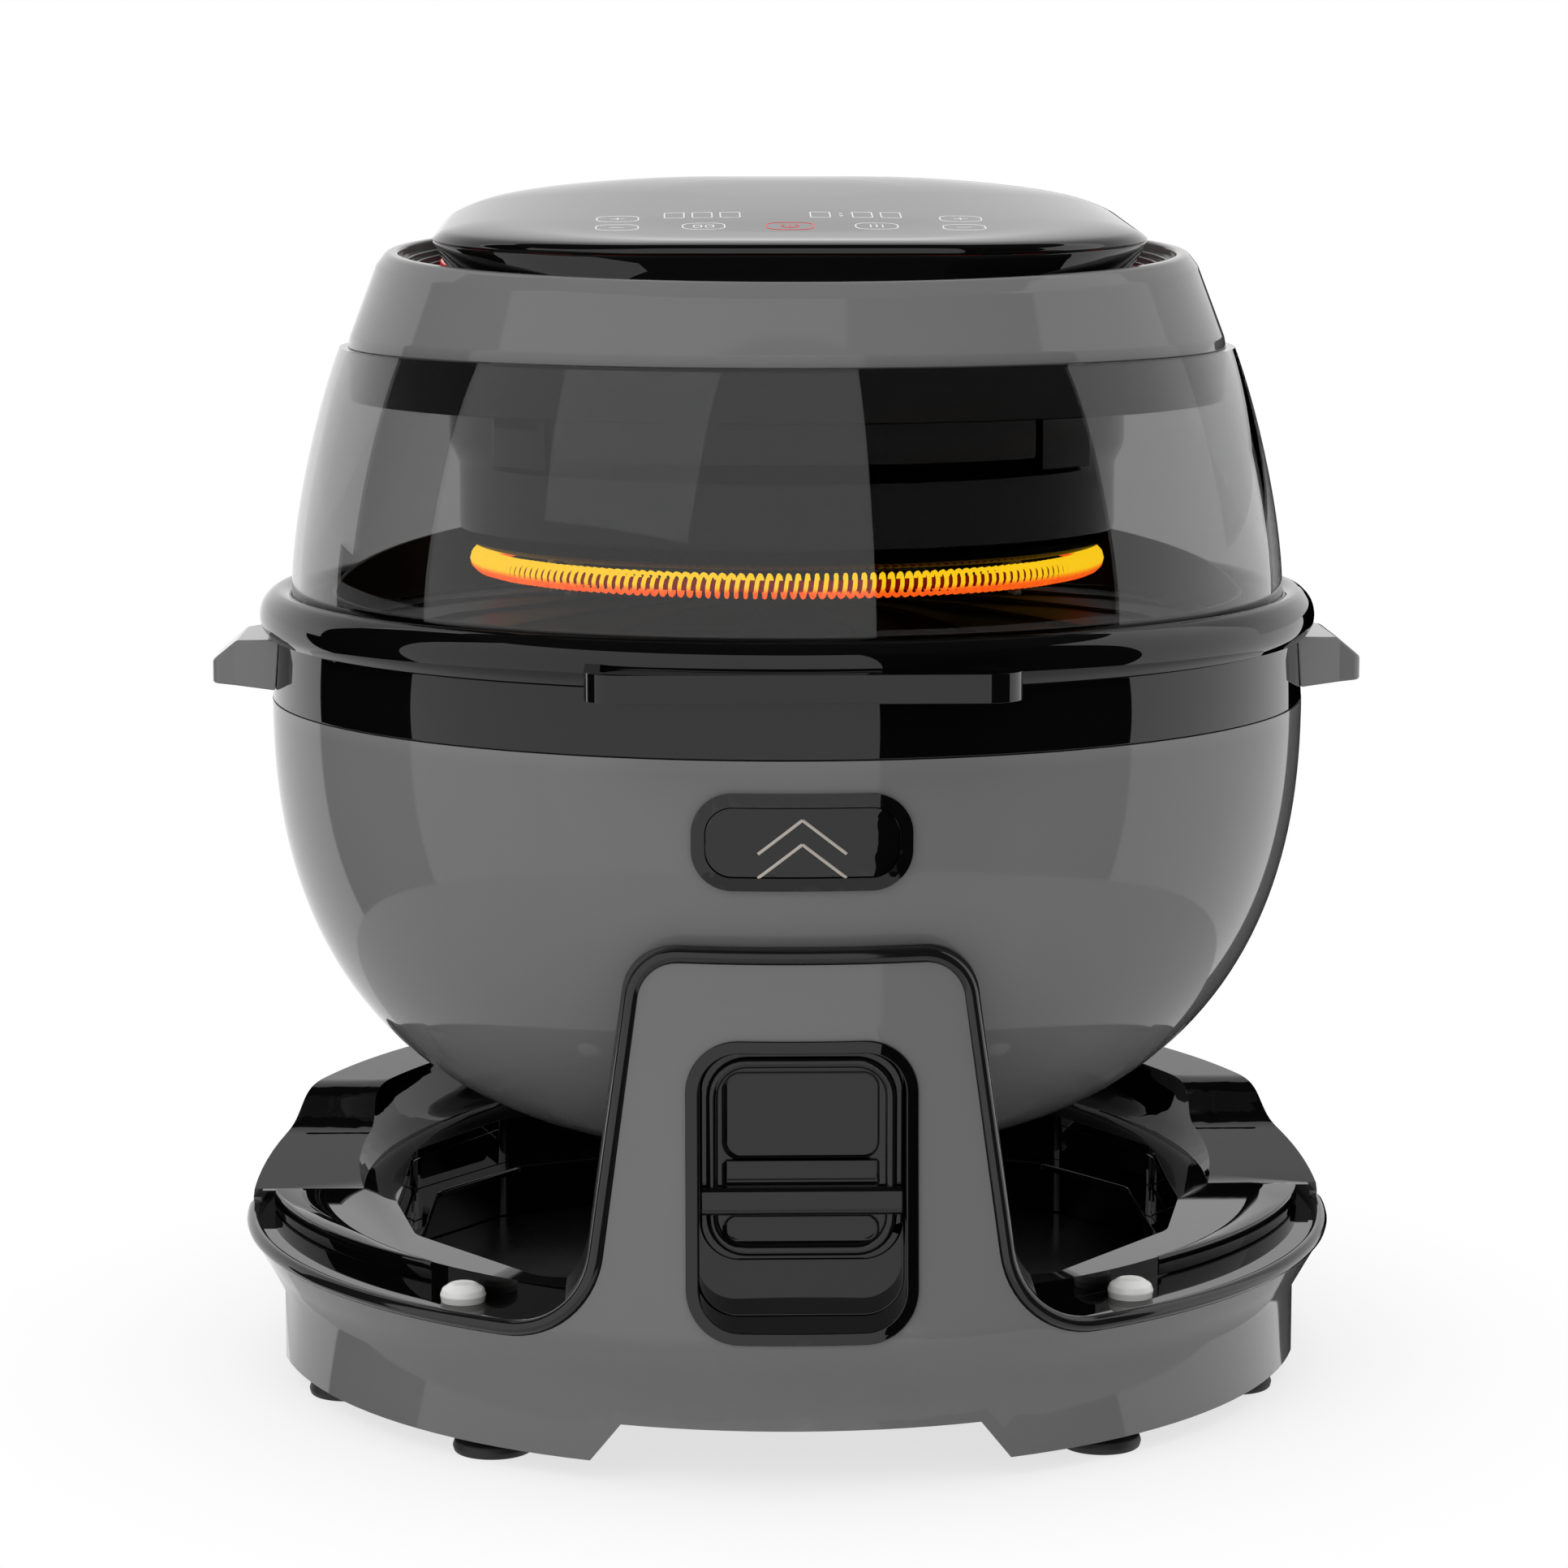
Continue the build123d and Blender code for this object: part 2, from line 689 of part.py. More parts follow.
coil_clearance = 0.3
clip_eye = heater_coil_radius + heater_wire / 2 + coil_clearance
clip_wall = 1.6
clip_plate = make_face(Polyline(
    (heater_ring_radius - clip_eye - clip_wall, drum_bottom),
    (heater_ring_radius + clip_eye + clip_wall, drum_bottom),
    (heater_ring_radius + clip_eye + clip_wall, heater_ring_height),
    (heater_ring_radius + clip_eye - 1.6, heater_ring_height - clip_eye - clip_wall),
    (heater_ring_radius - clip_eye + 1.6, heater_ring_height - clip_eye - clip_wall),
    (heater_ring_radius - clip_eye - clip_wall, heater_ring_height), close=True))
clip_plate -= Pos(heater_ring_radius, heater_ring_height) * Circle(clip_eye)
clip_plate &= Pos(heater_ring_radius - 10, heater_ring_height) * Rectangle(20, 20)
clip_half = heater_clip_width / 2
heater_clip = front_prism(clip_plate, -clip_half, clip_half)
keep("heater_clips", *around(heater_clip, heater_clip_count, 45))

block_half = heater_ring_radius * math.sin(half_gap) - coil_clearance - heater_wire
terminal_back = heater_ring_radius + 6
terminal_block = block(-block_half, block_half, heater_ring_radius - 8, terminal_back,
                       heater_ring_height - 5.4, drum_bottom)
keep("terminal_block", terminal_block)


def coil_point(turn):
    """A point of the heater coil, by the number of turns from its start."""
    start = 90 + heater_gap_angle / 2
    around_ring = math.radians(start + core_sweep * turn / heater_turns)
    around_core = 2 * math.pi * turn
    out = heater_ring_radius + heater_coil_radius * math.cos(around_core)
    return Vector(out * math.cos(around_ring), out * math.sin(around_ring),
                  heater_ring_height + heater_coil_radius * math.sin(around_core))


def coil_direction(turn):
    step = 1e-4
    return (coil_point(turn + step) - coil_point(turn - step)).normalized()


def biarc(start, start_way, end, end_way):
    """Two tangent arcs from start to end that leave and arrive in the given directions."""
    span = end - start
    both = start_way + end_way
    bend = 2 * (1 - start_way.dot(end_way))
    reach = (math.sqrt(span.dot(both) ** 2 + bend * span.dot(span)) - span.dot(both)) / bend
    first_corner = start + start_way * reach
    second_corner = end - end_way * reach
    middle = (first_corner + second_corner) * 0.5
    middle_way = (second_corner - first_corner).normalized()
    return [Edge.make_tangent_arc(start, start_way, middle), Edge.make_tangent_arc(middle, middle_way, end)]


coil_arcs = []
for half_turn in range(2 * heater_turns):
    here, there = half_turn / 2, (half_turn + 1) / 2
    coil_arcs += biarc(coil_point(here), coil_direction(here), coil_point(there), coil_direction(there))
coil_path = Wire(coil_arcs)
coil_face = Plane(origin=coil_point(0), z_dir=coil_direction(0)) * Circle(heater_wire / 2)
heater_coil = sweep(coil_face, path=coil_path)
keep("heater_coil", heater_coil)

samples_per_turn = 24
coil_points = [coil_point(index / samples_per_turn) for index in range(samples_per_turn * 3)]
coil_gap = min((a - b).length for i, a in enumerate(coil_points)
               for b in coil_points[i + samples_per_turn // 2:]) - heater_wire
print(f"heater coil: {heater_turns} turns, least gap to itself {coil_gap:.2f} mm")

# Temperature probe
probe_angle = 215.0
probe_ring = drum_lip_inner_radius + 2.4
keep("temperature_probe", Rot(0, 0, probe_angle) * Pos(probe_ring, 0, drum_bottom - 12) * Cylinder(
    1.6, 12, align=(Align.CENTER, Align.CENTER, Align.MIN)))

# Fan wheel, shaft and cooling fan
bore = shaft_radius + shaft_clearance
fan_plate_top = fan_plate_height + fan_plate_thickness
fan_hub = tube(fan_hub_radius, bore, fan_plate_height - fan_blade_height, fan_plate_top)
fan_plate = tube(fan_radius, bore, fan_plate_height, fan_plate_top)
blade_half = fan_blade_thickness / 2
fan_blade = block(fan_blade_inner, fan_radius, -blade_half, blade_half,
                  fan_plate_height - fan_blade_height, fan_plate_height + 0.2)
keep("hot_air_fan", fan_hub + fan_plate + around(fan_blade, fan_blades))
cooling_low = dome_top + cooling_fan_gap
cooling_hub = tube(fan_hub_radius, bore, cooling_low, cooling_low + cooling_fan_height)
cooling_blade = Rot(cooling_blade_pitch, 0, 0) * block(
    fan_hub_radius - 1, cooling_fan_radius, -cooling_blade_width / 2, cooling_blade_width / 2, -0.5, 0.5)
cooling_blade = Pos(0, 0, cooling_low + cooling_fan_height / 2) * cooling_blade
keep("cooling_fan", cooling_hub + around(cooling_blade, cooling_fan_blades))
shaft_bottom = fan_plate_height - fan_blade_height - 3
keep("motor_shaft", disc(shaft_radius, shaft_bottom, motor_bottom + motor_bore_depth - 1))

fan_motor = disc(motor_radius, motor_bottom, motor_top) - disc(
    shaft_radius + shaft_clearance, motor_bottom - 1, motor_bottom + motor_bore_depth)
keep("fan_motor", fan_motor)
bracket_low = motor_bottom - bracket_thickness
bracket_ring = tube(motor_radius + 1, bracket_hole, bracket_low, motor_bottom)
bracket_half = bracket_width / 2
bracket_arm = block(motor_radius - 2, bracket_reach, -bracket_half, bracket_half, bracket_low, motor_bottom)
bracket_leg = disc(bracket_leg_radius, dome_top, bracket_low + 0.5)
bracket_leg = Pos(bracket_reach - bracket_leg_radius, 0, 0) * bracket_leg
keep("motor_bracket", bracket_ring + around(bracket_arm + bracket_leg, 3))

# Lid screws: from the lid deck up into the head base
lid_screw = disc(screw_radius, plate_low - 2, plate_low)
keep("lid_screws", *around(Pos(head_base_radius + 20, 0, 0) * lid_screw, 6, 30))

# Hinge: housing with two lugs on the bowl, arm and knuckle on the lid, one pin
housing_half = housing_width / 2
housing_front = bowl_radius - 30
housing_plan = make_face(Polyline(
    (-housing_half, housing_front), (-housing_half, housing_back - housing_corner),
    (-housing_half + housing_corner, housing_back), (housing_half - housing_corner, housing_back),
    (housing_half, housing_back - housing_corner), (housing_half, housing_front), close=True))
hinge_housing = extrude(Pos(0, 0, housing_bottom) * housing_plan, amount=housing_top - housing_bottom)
chin = side_prism(make_face(Polyline(
    (housing_front - 10, housing_bottom - 1), (housing_back + 1, housing_bottom - 1),
    (housing_back + 1, housing_bottom + housing_corner), (housing_back - housing_chin, housing_bottom),
    (housing_front - 10, housing_bottom), close=True)), housing_half + 1)
lug_inner = hinge_arm_width / 2 + hinge_side_gap
lug_outer = lug_inner + hinge_lug_width
lug_outline = make_face(Polyline(
    (hinge_back - hinge_knuckle_radius, housing_top - 1), (hinge_back - hinge_knuckle_radius, hinge_height),
    (hinge_back + hinge_knuckle_radius, hinge_height), (hinge_back + hinge_knuckle_radius, housing_top - 1),
    close=True))
lug_outline += Pos(hinge_back, hinge_height) * Circle(hinge_knuckle_radius)
lug = extrude(Plane.YZ * lug_outline, amount=hinge_lug_width)
lugs = [Pos(lug_inner, 0, 0) * lug, Pos(-lug_outer, 0, 0) * lug]
pin_bore = Pos(0, hinge_back, hinge_height) * Rot(0, 90, 0) * Cylinder(hinge_pin_radius + 0.02, 200)
inlet_pocket = Pos(0, housing_back, inlet_height) * Box(inlet_width, 2 * inlet_depth, inlet_tall)
hinge_bracket = hinge_housing + lugs - chin - pin_bore - bowl_outside - band_body(0)
hinge_bracket -= inlet_pocket
keep("hinge_bracket", hinge_bracket)
pin_length = 2 * lug_outer
keep("hinge_pin", Pos(0, hinge_back, hinge_height) * Rot(0, 90, 0) * Cylinder(hinge_pin_radius, pin_length))

arm_half = hinge_arm_width / 2
arm_outline = make_face(Polyline(
    (172, flange_bottom + 4), (hinge_back, hinge_height - hinge_knuckle_radius),
    (hinge_back, hinge_height + hinge_knuckle_radius), (172, flange_top + 0.6), close=True))
arm_outline += Pos(hinge_back, hinge_height) * Circle(hinge_knuckle_radius)
hinge_arm = side_prism(arm_outline, arm_half) - flange_body - disc(dome_foot_radius + 1, 250, 290)
hinge_arm -= Pos(0, hinge_back, hinge_height) * Rot(0, 90, 0) * Cylinder(hinge_pin_radius + 0.05, 200)
keep("hinge_arm", hinge_arm)

# Power inlet in the back of the hinge housing, with its three contact pins
inlet_body = Pos(0, housing_back - inlet_depth / 2, inlet_height) * Box(inlet_width, inlet_depth, inlet_tall)
inlet_socket = Pos(0, housing_back - inlet_socket_depth / 2, inlet_height) * Box(
    inlet_width - 2 * inlet_wall, inlet_socket_depth, inlet_tall - 2 * inlet_wall)
keep("power_inlet", inlet_body - inlet_socket)
inlet_pins = [Pos(x, housing_back - inlet_socket_depth + 3, inlet_height + z) * Box(2, 6, 4)
              for x, z in ((-7, -1.5), (7, -1.5), (0, 2.5))]
keep("inlet_pins", *inlet_pins)


# Base stand
def stand_body(inset):
    """The outside of the base stand as a full body, set in by a wall."""
    points = [(skirt_radius, skirt_bottom), (skirt_radius, flare_start), (rim_radius, rim_bottom),
              (rim_radius, rim_top), (187, 80), (183, 114), (178, tower_top), (177.6, tower_top + 6)]
    profile = [(radius - inset, height) for radius, height in points]
    body = lathe((0, skirt_bottom), *profile, (0, tower_top + 6))
    flat = make_face(Polyline(
        (skirt_flat - inset, 0), (skirt_flat - inset, flare_start), (rim_radius - inset, rim_bottom),
        (rim_radius + 40, rim_bottom), (rim_radius + 40, 0), close=True))
    side_cut = front_prism(flat, -80, 80)
    return body - side_cut - Rot(0, 0, 180) * side_cut


def tower_outline():
    """Front view of the stand's top edge: rim, fillets and tower."""
    wide = rim_radius + 20
    right = [(tower_top_half, tower_top), (tower_foot_half, rim_top - 1), (wide, rim_top - 1), (wide, -20)]
    left = [(-x, z) for x, z in reversed(right)]
    outline = make_face(Polyline(*left, *right, close=True))
    tops = [v for v in outline.vertices() if abs(v.Y - tower_top) < 1]
    outline = fillet(tops, tower_corner)
    feet = [v for v in outline.vertices() if abs(v.Y - rim_top + 1) < 0.5 and abs(v.X) < tower_foot_half + 1]
    return fillet(feet, tower_fillet)


# The deck behind the middle: an outer shoulder that climbs to the back, seen from the side,
# with a dished inner plate let into it
shoulder_face = make_face(Curve() + [
    Line((0, front_deck), shoulder_foot),
    Spline(shoulder_foot, *shoulder_ramp, shoulder_head, tangents=((48, 9.2), (1, 0.1))),
    Polyline(shoulder_head, shoulder_back, (shoulder_back[0], 0), (0, 0), (0, front_deck)),
])


def shoulder_space(drop):
    """Everything below the shoulder's surface, lowered by drop."""
    return side_prism(Pos(0, -drop) * shoulder_face, 230)


def plate_space(drop):
    """Everything above the inner plate's gently rising surface, lowered by drop."""
    line = [(0, front_deck), plate_back, (plate_back[0], dish_open_height), (0, dish_open_height)]
    return side_prism(make_face(Polyline(*[(y, z - drop) for y, z in line], close=True)), 230)


def dish_space(grow):
    """The room over the inner plate inside its flared wall, larger all round by grow."""
    low = dish_floor - grow
    wall = [(dish_floor_radius, dish_floor), *dish_side, dish_rim]
    wall = [(radius + grow, height - grow) for radius, height in wall]
    flare = turned(
        Line((0, low), wall[0]), Spline(*wall),
        Polyline(wall[-1], (wall[-1][0], dish_open_height), (0, dish_open_height), (0, low)))
    return flare & plate_space(grow)


outer_outline = tower_outline()
inner_outline = offset(outer_outline, amount=-bead)
front_space = front_prism(inner_outline, -230, 0)
rear_space = shoulder_space(deck_thickness)
stand_outside = stand_body(0)
stand_inside = stand_body(base_wall)
arch = front_prism(make_face(Polyline(
    (-arch_foot_half, 0), (-arch_foot_half, skirt_bottom), (-arch_half, arch_top), (arch_half, arch_top),
    (arch_foot_half, skirt_bottom), (arch_foot_half, 0), close=True)), -230, -100)
latch_middle = latch_bottom + latch_height / 2
latch_outline = Pos(0, latch_middle) * RectangleRounded(latch_width, latch_height, latch_corner)
latch_hole = front_prism(offset(latch_outline, amount=-latch_hole_inset), -230, -100)
wall_body = stand_outside - stand_inside
base_shell = (wall_body & front_space) + (wall_body & rear_space) - arch - latch_hole
keep("base_shell", base_shell)

bead_skin = stand_body(-bead_stand) - stand_body(base_wall)
bead_space = front_prism(outer_outline - inner_outline, -230, 0)
keep("base_trim", bead_skin & bead_space)

# Tower frame: black side walls and roof from the face back to the bowl
frame_outline = outer_outline - offset(outer_outline, amount=-frame_wall)
frame_window = Rectangle(2 * tower_foot_half + 8, tower_top - rim_top + 4)
frame_window = Pos(0, (rim_top + tower_top) / 2 + 8) * frame_window
frame_outline &= frame_window
tower_frame = front_prism(frame_outline, -230, tower_back) & stand_inside
tower_frame -= bowl_body(-frame_clearance)
keep("tower_frame", tower_frame)

# Deck with its crescent step and rounded opening
opening_left = [(-x, y) for x, y in reversed(opening_right)]
opening_plan = make_face(Polyline(*opening_right, *opening_left, close=True))
opening_plan = fillet(opening_plan.vertices(), opening_corner)
rear_underside = shoulder_space(deck_thickness) - dish_space(deck_thickness)
rear_deck = (shoulder_space(0) - dish_space(0) - rear_underside) & stand_outside
crescent = Pos(0, crescent_shift, 0) * disc(crescent_radius, 0, 120)
crescent_core = Pos(0, crescent_shift, 0) * disc(crescent_radius - deck_thickness, 0, 120)
front_half = block(-230, 230, -230, 0, 0, 120)
stand_fit = stand_body(base_wall + 0.02)
front_plate = block(-230, 230, -230, 0, front_deck - deck_thickness, front_deck) & crescent & stand_fit
step_wall = (crescent - crescent_core) & front_half & block(-230, 230, -230, 0, low_band - deck_thickness,
                                                          front_deck)
low_deck = (front_half & block(-230, 230, -230, 0, low_band - deck_thickness, low_band)) - crescent_core
end_wall = block(-230, 230, -deck_thickness, 0, low_band - deck_thickness, front_deck) - crescent_core
front_pieces = (step_wall + low_deck + end_wall) & stand_fit
tower_void = front_prism(offset(outer_outline, amount=0.3) & frame_window, -230, tower_back)
base_deck = rear_deck + front_plate + front_pieces - extrude(opening_plan, amount=120) - tower_void
keep("base_deck", base_deck)

# Well below the opening: wall and ledge
well_plan = offset(opening_plan, amount=well_wall) - opening_plan
well_ring = extrude(Pos(0, 0, pan_height + pan_thickness) * well_plan, amount=50)
well_ring -= plate_space(deck_thickness)
well_ring -= block(-230, 230, -230, 0, front_deck - deck_thickness, 150)
ledge = extrude(Pos(0, 0, well_ledge_height) * (opening_plan - offset(opening_plan, amount=-well_ledge)),
                amount=well_wall)
well_front = tower_void + block(-well_gap, well_gap, -230, tower_back, 0, 100)
keep("deck_well", well_ring - well_front)
keep("well_ledge", ledge - well_front)

# Bottom pan, cradle, feet, bumpers and screws
pan_low, pan_high = pan_height, pan_height + pan_thickness
pan = disc(skirt_radius - base_wall - 0.3, pan_low, pan_high)
pan &= block(-skirt_flat + base_wall + 0.3, skirt_flat - base_wall - 0.3, -200, 200, 0, 50)
keep("base_pan", pan)
cradle = tube(cradle_radius, cradle_radius - cradle_wall, pan_high, bowl_floor_height)
cradle_web = block(-cradle_radius + 1, cradle_radius - 1, -1.5, 1.5, pan_high, bowl_floor_height - 3)
keep("bowl_cradle", cradle + cradle_web + Rot(0, 0, 90) * cradle_web)

foot = lathe((0, 0), (foot_radius - 1, 0), (foot_radius, 1.2), (foot_radius, 3.6), (foot_radius - 4, 5.0),
             (foot_radius - 5, skirt_bottom), (foot_radius - 5, pan_height), (0, pan_height))
feet = []
for side in (-90, 90):
    for angle in foot_angles:
        for sign in (-1, 1):
            feet.append(Rot(0, 0, side + sign * angle) * Pos(foot_ring, 0, 0) * foot)
keep("rubber_feet", *feet)

crown = bumper_height - bumper_rim_height
crown_radius = (bumper_radius ** 2 + crown ** 2) / (2 * crown)
bumper = disc(bumper_radius, low_band, low_band + bumper_height) & (
    Pos(0, 0, low_band + bumper_height - crown_radius) * Sphere(crown_radius))
bumper = Pos(bumper_ring, 0, 0) * bumper
keep("rest_bumpers", *[Rot(0, 0, -90 + sign * bumper_angle) * bumper for sign in (-1, 1)])

pan_screw = disc(screw_radius + 1, pan_height - 2, pan_height)
keep("base_screws", *around(Pos(foot_ring - 30, 0, 0) * pan_screw, 6, 0))

# Latch: tray with bezel, slider with tongue, spring and the keeper on the bowl
tray_floor_back = -tray_face + latch_depth + 2 * tray_floor_thickness
tray_back = tray_floor_back - tray_floor_thickness
tray_outline = offset(latch_outline, amount=-latch_hole_inset - 0.1)
tray_space_outline = offset(latch_outline, amount=-latch_rim)
tray_tube = front_prism(tray_outline - tray_space_outline, -230, tray_back) & stand_body(-bezel_lip_stand)
tray_floor = front_prism(tray_outline, tray_back, tray_floor_back)
bezel_lip = front_prism(latch_outline - tray_space_outline, -230, -120) & (
    stand_body(-bezel_lip_stand) - stand_outside)
slot_half = tongue_width / 2 + slot_gap
stem_low = tongue_slot_top - slot_gap - tongue_stem_height
tray_slot = block(-slot_half, slot_half, tray_back - 1, tray_floor_back + 1,
                  stem_low - latch_travel - slot_gap, tongue_slot_top)
keep("latch_tray", tray_tube + tray_floor + bezel_lip - tray_slot)

slider_top = latch_bottom + latch_height - latch_rim - latch_gap
slider_low = slider_top - slider_height
slider_width = latch_width - 2 * latch_rim - 2 * latch_gap
slider_outline = RectangleRounded(slider_width, slider_height, latch_corner - latch_rim)
slider_outline = Pos(0, (slider_top + slider_low) / 2) * slider_outline
slider_back = tray_back - 0.3
slider_front = slider_back - slider_thickness
slider = front_prism(slider_outline, slider_front, slider_back)
undercut_low = slider_low + grip_from_bottom + grip_height
upper_pocket_low = undercut_low + undercut_height + 1
upper_pocket_high = slider_top - 7
upper_pocket = Pos(0, (upper_pocket_low + upper_pocket_high) / 2) * RectangleRounded(
    pocket_width, upper_pocket_high - upper_pocket_low, 5)
lower_pocket = Pos(0, slider_low + lower_pocket_margin + lower_pocket_height / 2) * RectangleRounded(
    pocket_width, lower_pocket_height, 4)
slider -= front_prism(upper_pocket + lower_pocket, slider_front - 1, slider_front + pocket_depth)
slider -= block(-pocket_width / 2, pocket_width / 2, slider_front - 1,
                slider_front + pocket_depth + undercut_depth, undercut_low, undercut_low + undercut_height)
grip = block(-slider_width / 2, slider_width / 2, slider_front - grip_stand, slider_front + 0.5,
             slider_low + grip_from_bottom, slider_low + grip_from_bottom + grip_height)
grip = chamfer(grip.edges().filter_by(Axis.X).group_by(Axis.Y)[0], 1.5)
stem_back = tray_back + tongue_reach
tongue_half = tongue_width / 2
stem_high = stem_low + tongue_stem_height
tongue_stem = block(-tongue_half, tongue_half, slider_back - 0.5, stem_back, stem_low, stem_high)
tongue_bar = block(-tongue_half, tongue_half, stem_back - tongue_thickness, stem_back, stem_low, tongue_top)
keep("latch_slider", slider + grip + tongue_stem + tongue_bar)

keeper_front = stem_back - tongue_thickness - 3.4
keeper_plate = block(-keeper_width / 2, keeper_width / 2, keeper_front, -120, keeper_low, keeper_high)
keeper_slot = block(-tongue_half - tongue_gap, tongue_half + tongue_gap,
                    stem_back - tongue_thickness - tongue_gap, stem_back + tongue_gap,
                    keeper_low - 1, keeper_high + 1)
keep("bowl_keeper", keeper_plate - keeper_slot - bowl_outside)

latch_spring_low = stem_low - latch_spring_length
latch_spring_middle = tray_floor_back + latch_spring_radius + 0.3
keep("latch_spring", Pos(0, latch_spring_middle, 0) * tube(
    latch_spring_radius, latch_spring_radius - spring_wall, latch_spring_low, stem_low))
seat_back = tray_floor_back + 2 * latch_spring_radius + 1
keep("spring_seat", block(-tongue_half, tongue_half, tray_floor_back, seat_back,
                          latch_spring_low - spring_seat_thickness, latch_spring_low))

for name, shape in nodes.items():
    export_step(shape, f"parts/{name}.step")
print(len(nodes), "nodes written")
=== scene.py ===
import json
import math

import bmesh
import bpy
from bpy.props import FloatProperty, FloatVectorProperty, IntProperty, PointerProperty
from mathutils import Matrix, Vector
from mathutils.bvhtree import BVHTree


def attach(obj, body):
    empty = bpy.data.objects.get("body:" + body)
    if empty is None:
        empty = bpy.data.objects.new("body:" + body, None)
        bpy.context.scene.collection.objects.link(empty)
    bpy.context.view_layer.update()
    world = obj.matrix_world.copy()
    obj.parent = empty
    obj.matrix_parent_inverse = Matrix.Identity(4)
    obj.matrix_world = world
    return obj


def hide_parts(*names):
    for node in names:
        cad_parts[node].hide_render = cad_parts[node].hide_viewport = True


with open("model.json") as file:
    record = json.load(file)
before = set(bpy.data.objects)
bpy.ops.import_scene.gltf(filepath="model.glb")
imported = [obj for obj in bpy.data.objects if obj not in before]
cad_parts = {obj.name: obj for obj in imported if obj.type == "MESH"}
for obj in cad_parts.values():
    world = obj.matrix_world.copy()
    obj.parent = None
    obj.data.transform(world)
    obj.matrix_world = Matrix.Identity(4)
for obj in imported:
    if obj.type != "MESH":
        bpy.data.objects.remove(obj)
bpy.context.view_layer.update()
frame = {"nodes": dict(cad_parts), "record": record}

bl_info = {
    "name": "Air fryer grill",
    "version": (1, 0, 0),
    "blender": (4, 5, 0),
    "location": "View3D > Sidebar > Grill",
    "description": "Dresses the packed air fryer grill with its finished shapes and materials",
    "category": "Object",
}

MM = 0.001
TURN_STEPS = 224
record = frame["record"]
BODY_OF = {node: body for body, nodes in record["behaviour"]["bodies"].items() for node in nodes}
made = {}


# Settings that a user may change

class GrillFinishSettings(bpy.types.PropertyGroup):
    """Colours of the grill's finishes."""
    grey: FloatVectorProperty(
        name="Grey plastic", description="Colour of the stand, bowl and collar",
        default=(0.14, 0.14, 0.141), subtype="COLOR", min=0, max=1)
    gloss: FloatVectorProperty(
        name="Black gloss", description="Colour of the rim band, flange and control head",
        default=(0.0022, 0.0022, 0.0022), subtype="COLOR", min=0, max=1)
    smoke: FloatVectorProperty(
        name="Smoked glass", description="Tint of the dome",
        default=(0.42, 0.42, 0.42), subtype="COLOR", min=0, max=1)
    glow_high: FloatVectorProperty(
        name="Glow on the crests", description="Light of the heater wire at its brightest",
        default=(1.0, 0.62, 0.012), subtype="COLOR", min=0, max=1)
    glow_low: FloatVectorProperty(
        name="Glow in the valleys", description="Light of the heater wire between the crests",
        default=(1.0, 0.05, 0.01), subtype="COLOR", min=0, max=1)
    legend: FloatVectorProperty(
        name="Legends", description="Colour of the digits and touch keys",
        default=(0.8, 0.8, 0.8), subtype="COLOR", min=0, max=1)


class GrillShapeSettings(bpy.types.PropertyGroup):
    """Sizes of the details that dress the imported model."""
    coil_turns: IntProperty(
        name="Coil turns", description="Turns of the heater wire round its core",
        default=200, min=20, max=240)
    coil_wire: FloatProperty(
        name="Coil wire", description="Diameter of the heater wire",
        default=1.5 * MM, min=0.0, unit="LENGTH", precision=4)
    bead: FloatProperty(
        name="Bead width", description="Width of the dark bead round the tower and the deck",
        default=5.0 * MM, min=0.0, unit="LENGTH", precision=4)
    edge: FloatProperty(
        name="Moulded edge", description="Radius of the small edges of the moulded pieces",
        default=0.5 * MM, min=0.0, unit="LENGTH", precision=4)
    legend_line: FloatProperty(
        name="Legend line", description="Line width of the digits and touch keys",
        default=0.7 * MM, min=0.0, unit="LENGTH", precision=4)


class GrillStageSettings(bpy.types.PropertyGroup):
    """Light round the object."""
    fill: FloatProperty(
        name="Fill light", description="Level of the even light that reaches dull surfaces",
        default=0.9, min=0)
    box: FloatProperty(
        name="Soft box level", description="Brightness of the tall soft boxes in reflections",
        default=1.0, min=0)
    ground: FloatProperty(
        name="Ground level", description="Brightness of the ground in steep reflections",
        default=0.7, min=0)


# Mesh helpers

def mesh_object(name, bm, sharp=35.0):
    """A new object at the origin from a bmesh, smooth but for its sharp edges."""
    mesh = bpy.data.meshes.new(name)
    bm.to_mesh(mesh)
    bm.free()
    mesh.shade_smooth()
    mesh.set_sharp_from_angle(angle=math.radians(sharp))
    obj = bpy.data.objects.new(name, mesh)
    bpy.context.scene.collection.objects.link(obj)
    return obj


def place(obj, body, material):
    """Give a piece its body and its material."""
    obj.data.materials.clear()
    obj.data.materials.append(made[material])
    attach(obj, body)
    return obj


def stand_in(obj, material, node):
    """Put a piece in a CAD node's place, with the node's own body."""
    place(obj, BODY_OF[node], material)
    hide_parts(node)
    return obj


def baked(obj):
    """Apply the object's modifiers to its mesh."""
    graph = bpy.context.evaluated_depsgraph_get()
    graph.update()
    mesh = bpy.data.meshes.new_from_object(obj.evaluated_get(graph))
    old = obj.data
    obj.modifiers.clear()
    obj.data = mesh
    bpy.data.meshes.remove(old)
    return obj


def cut(obj, cutter, operation="DIFFERENCE", sharp=35.0):
    """Cut a piece with a helper object, or keep what they share, and delete the helper."""
    step = obj.modifiers.new("Cut", "BOOLEAN")
    step.operation = operation
    step.solver = "EXACT"
    step.object = cutter
    baked(obj)
    mesh = cutter.data
    bpy.data.objects.remove(cutter)
    bpy.data.meshes.remove(mesh)
    obj.data.shade_smooth()
    obj.data.set_sharp_from_angle(angle=math.radians(sharp))
    return obj


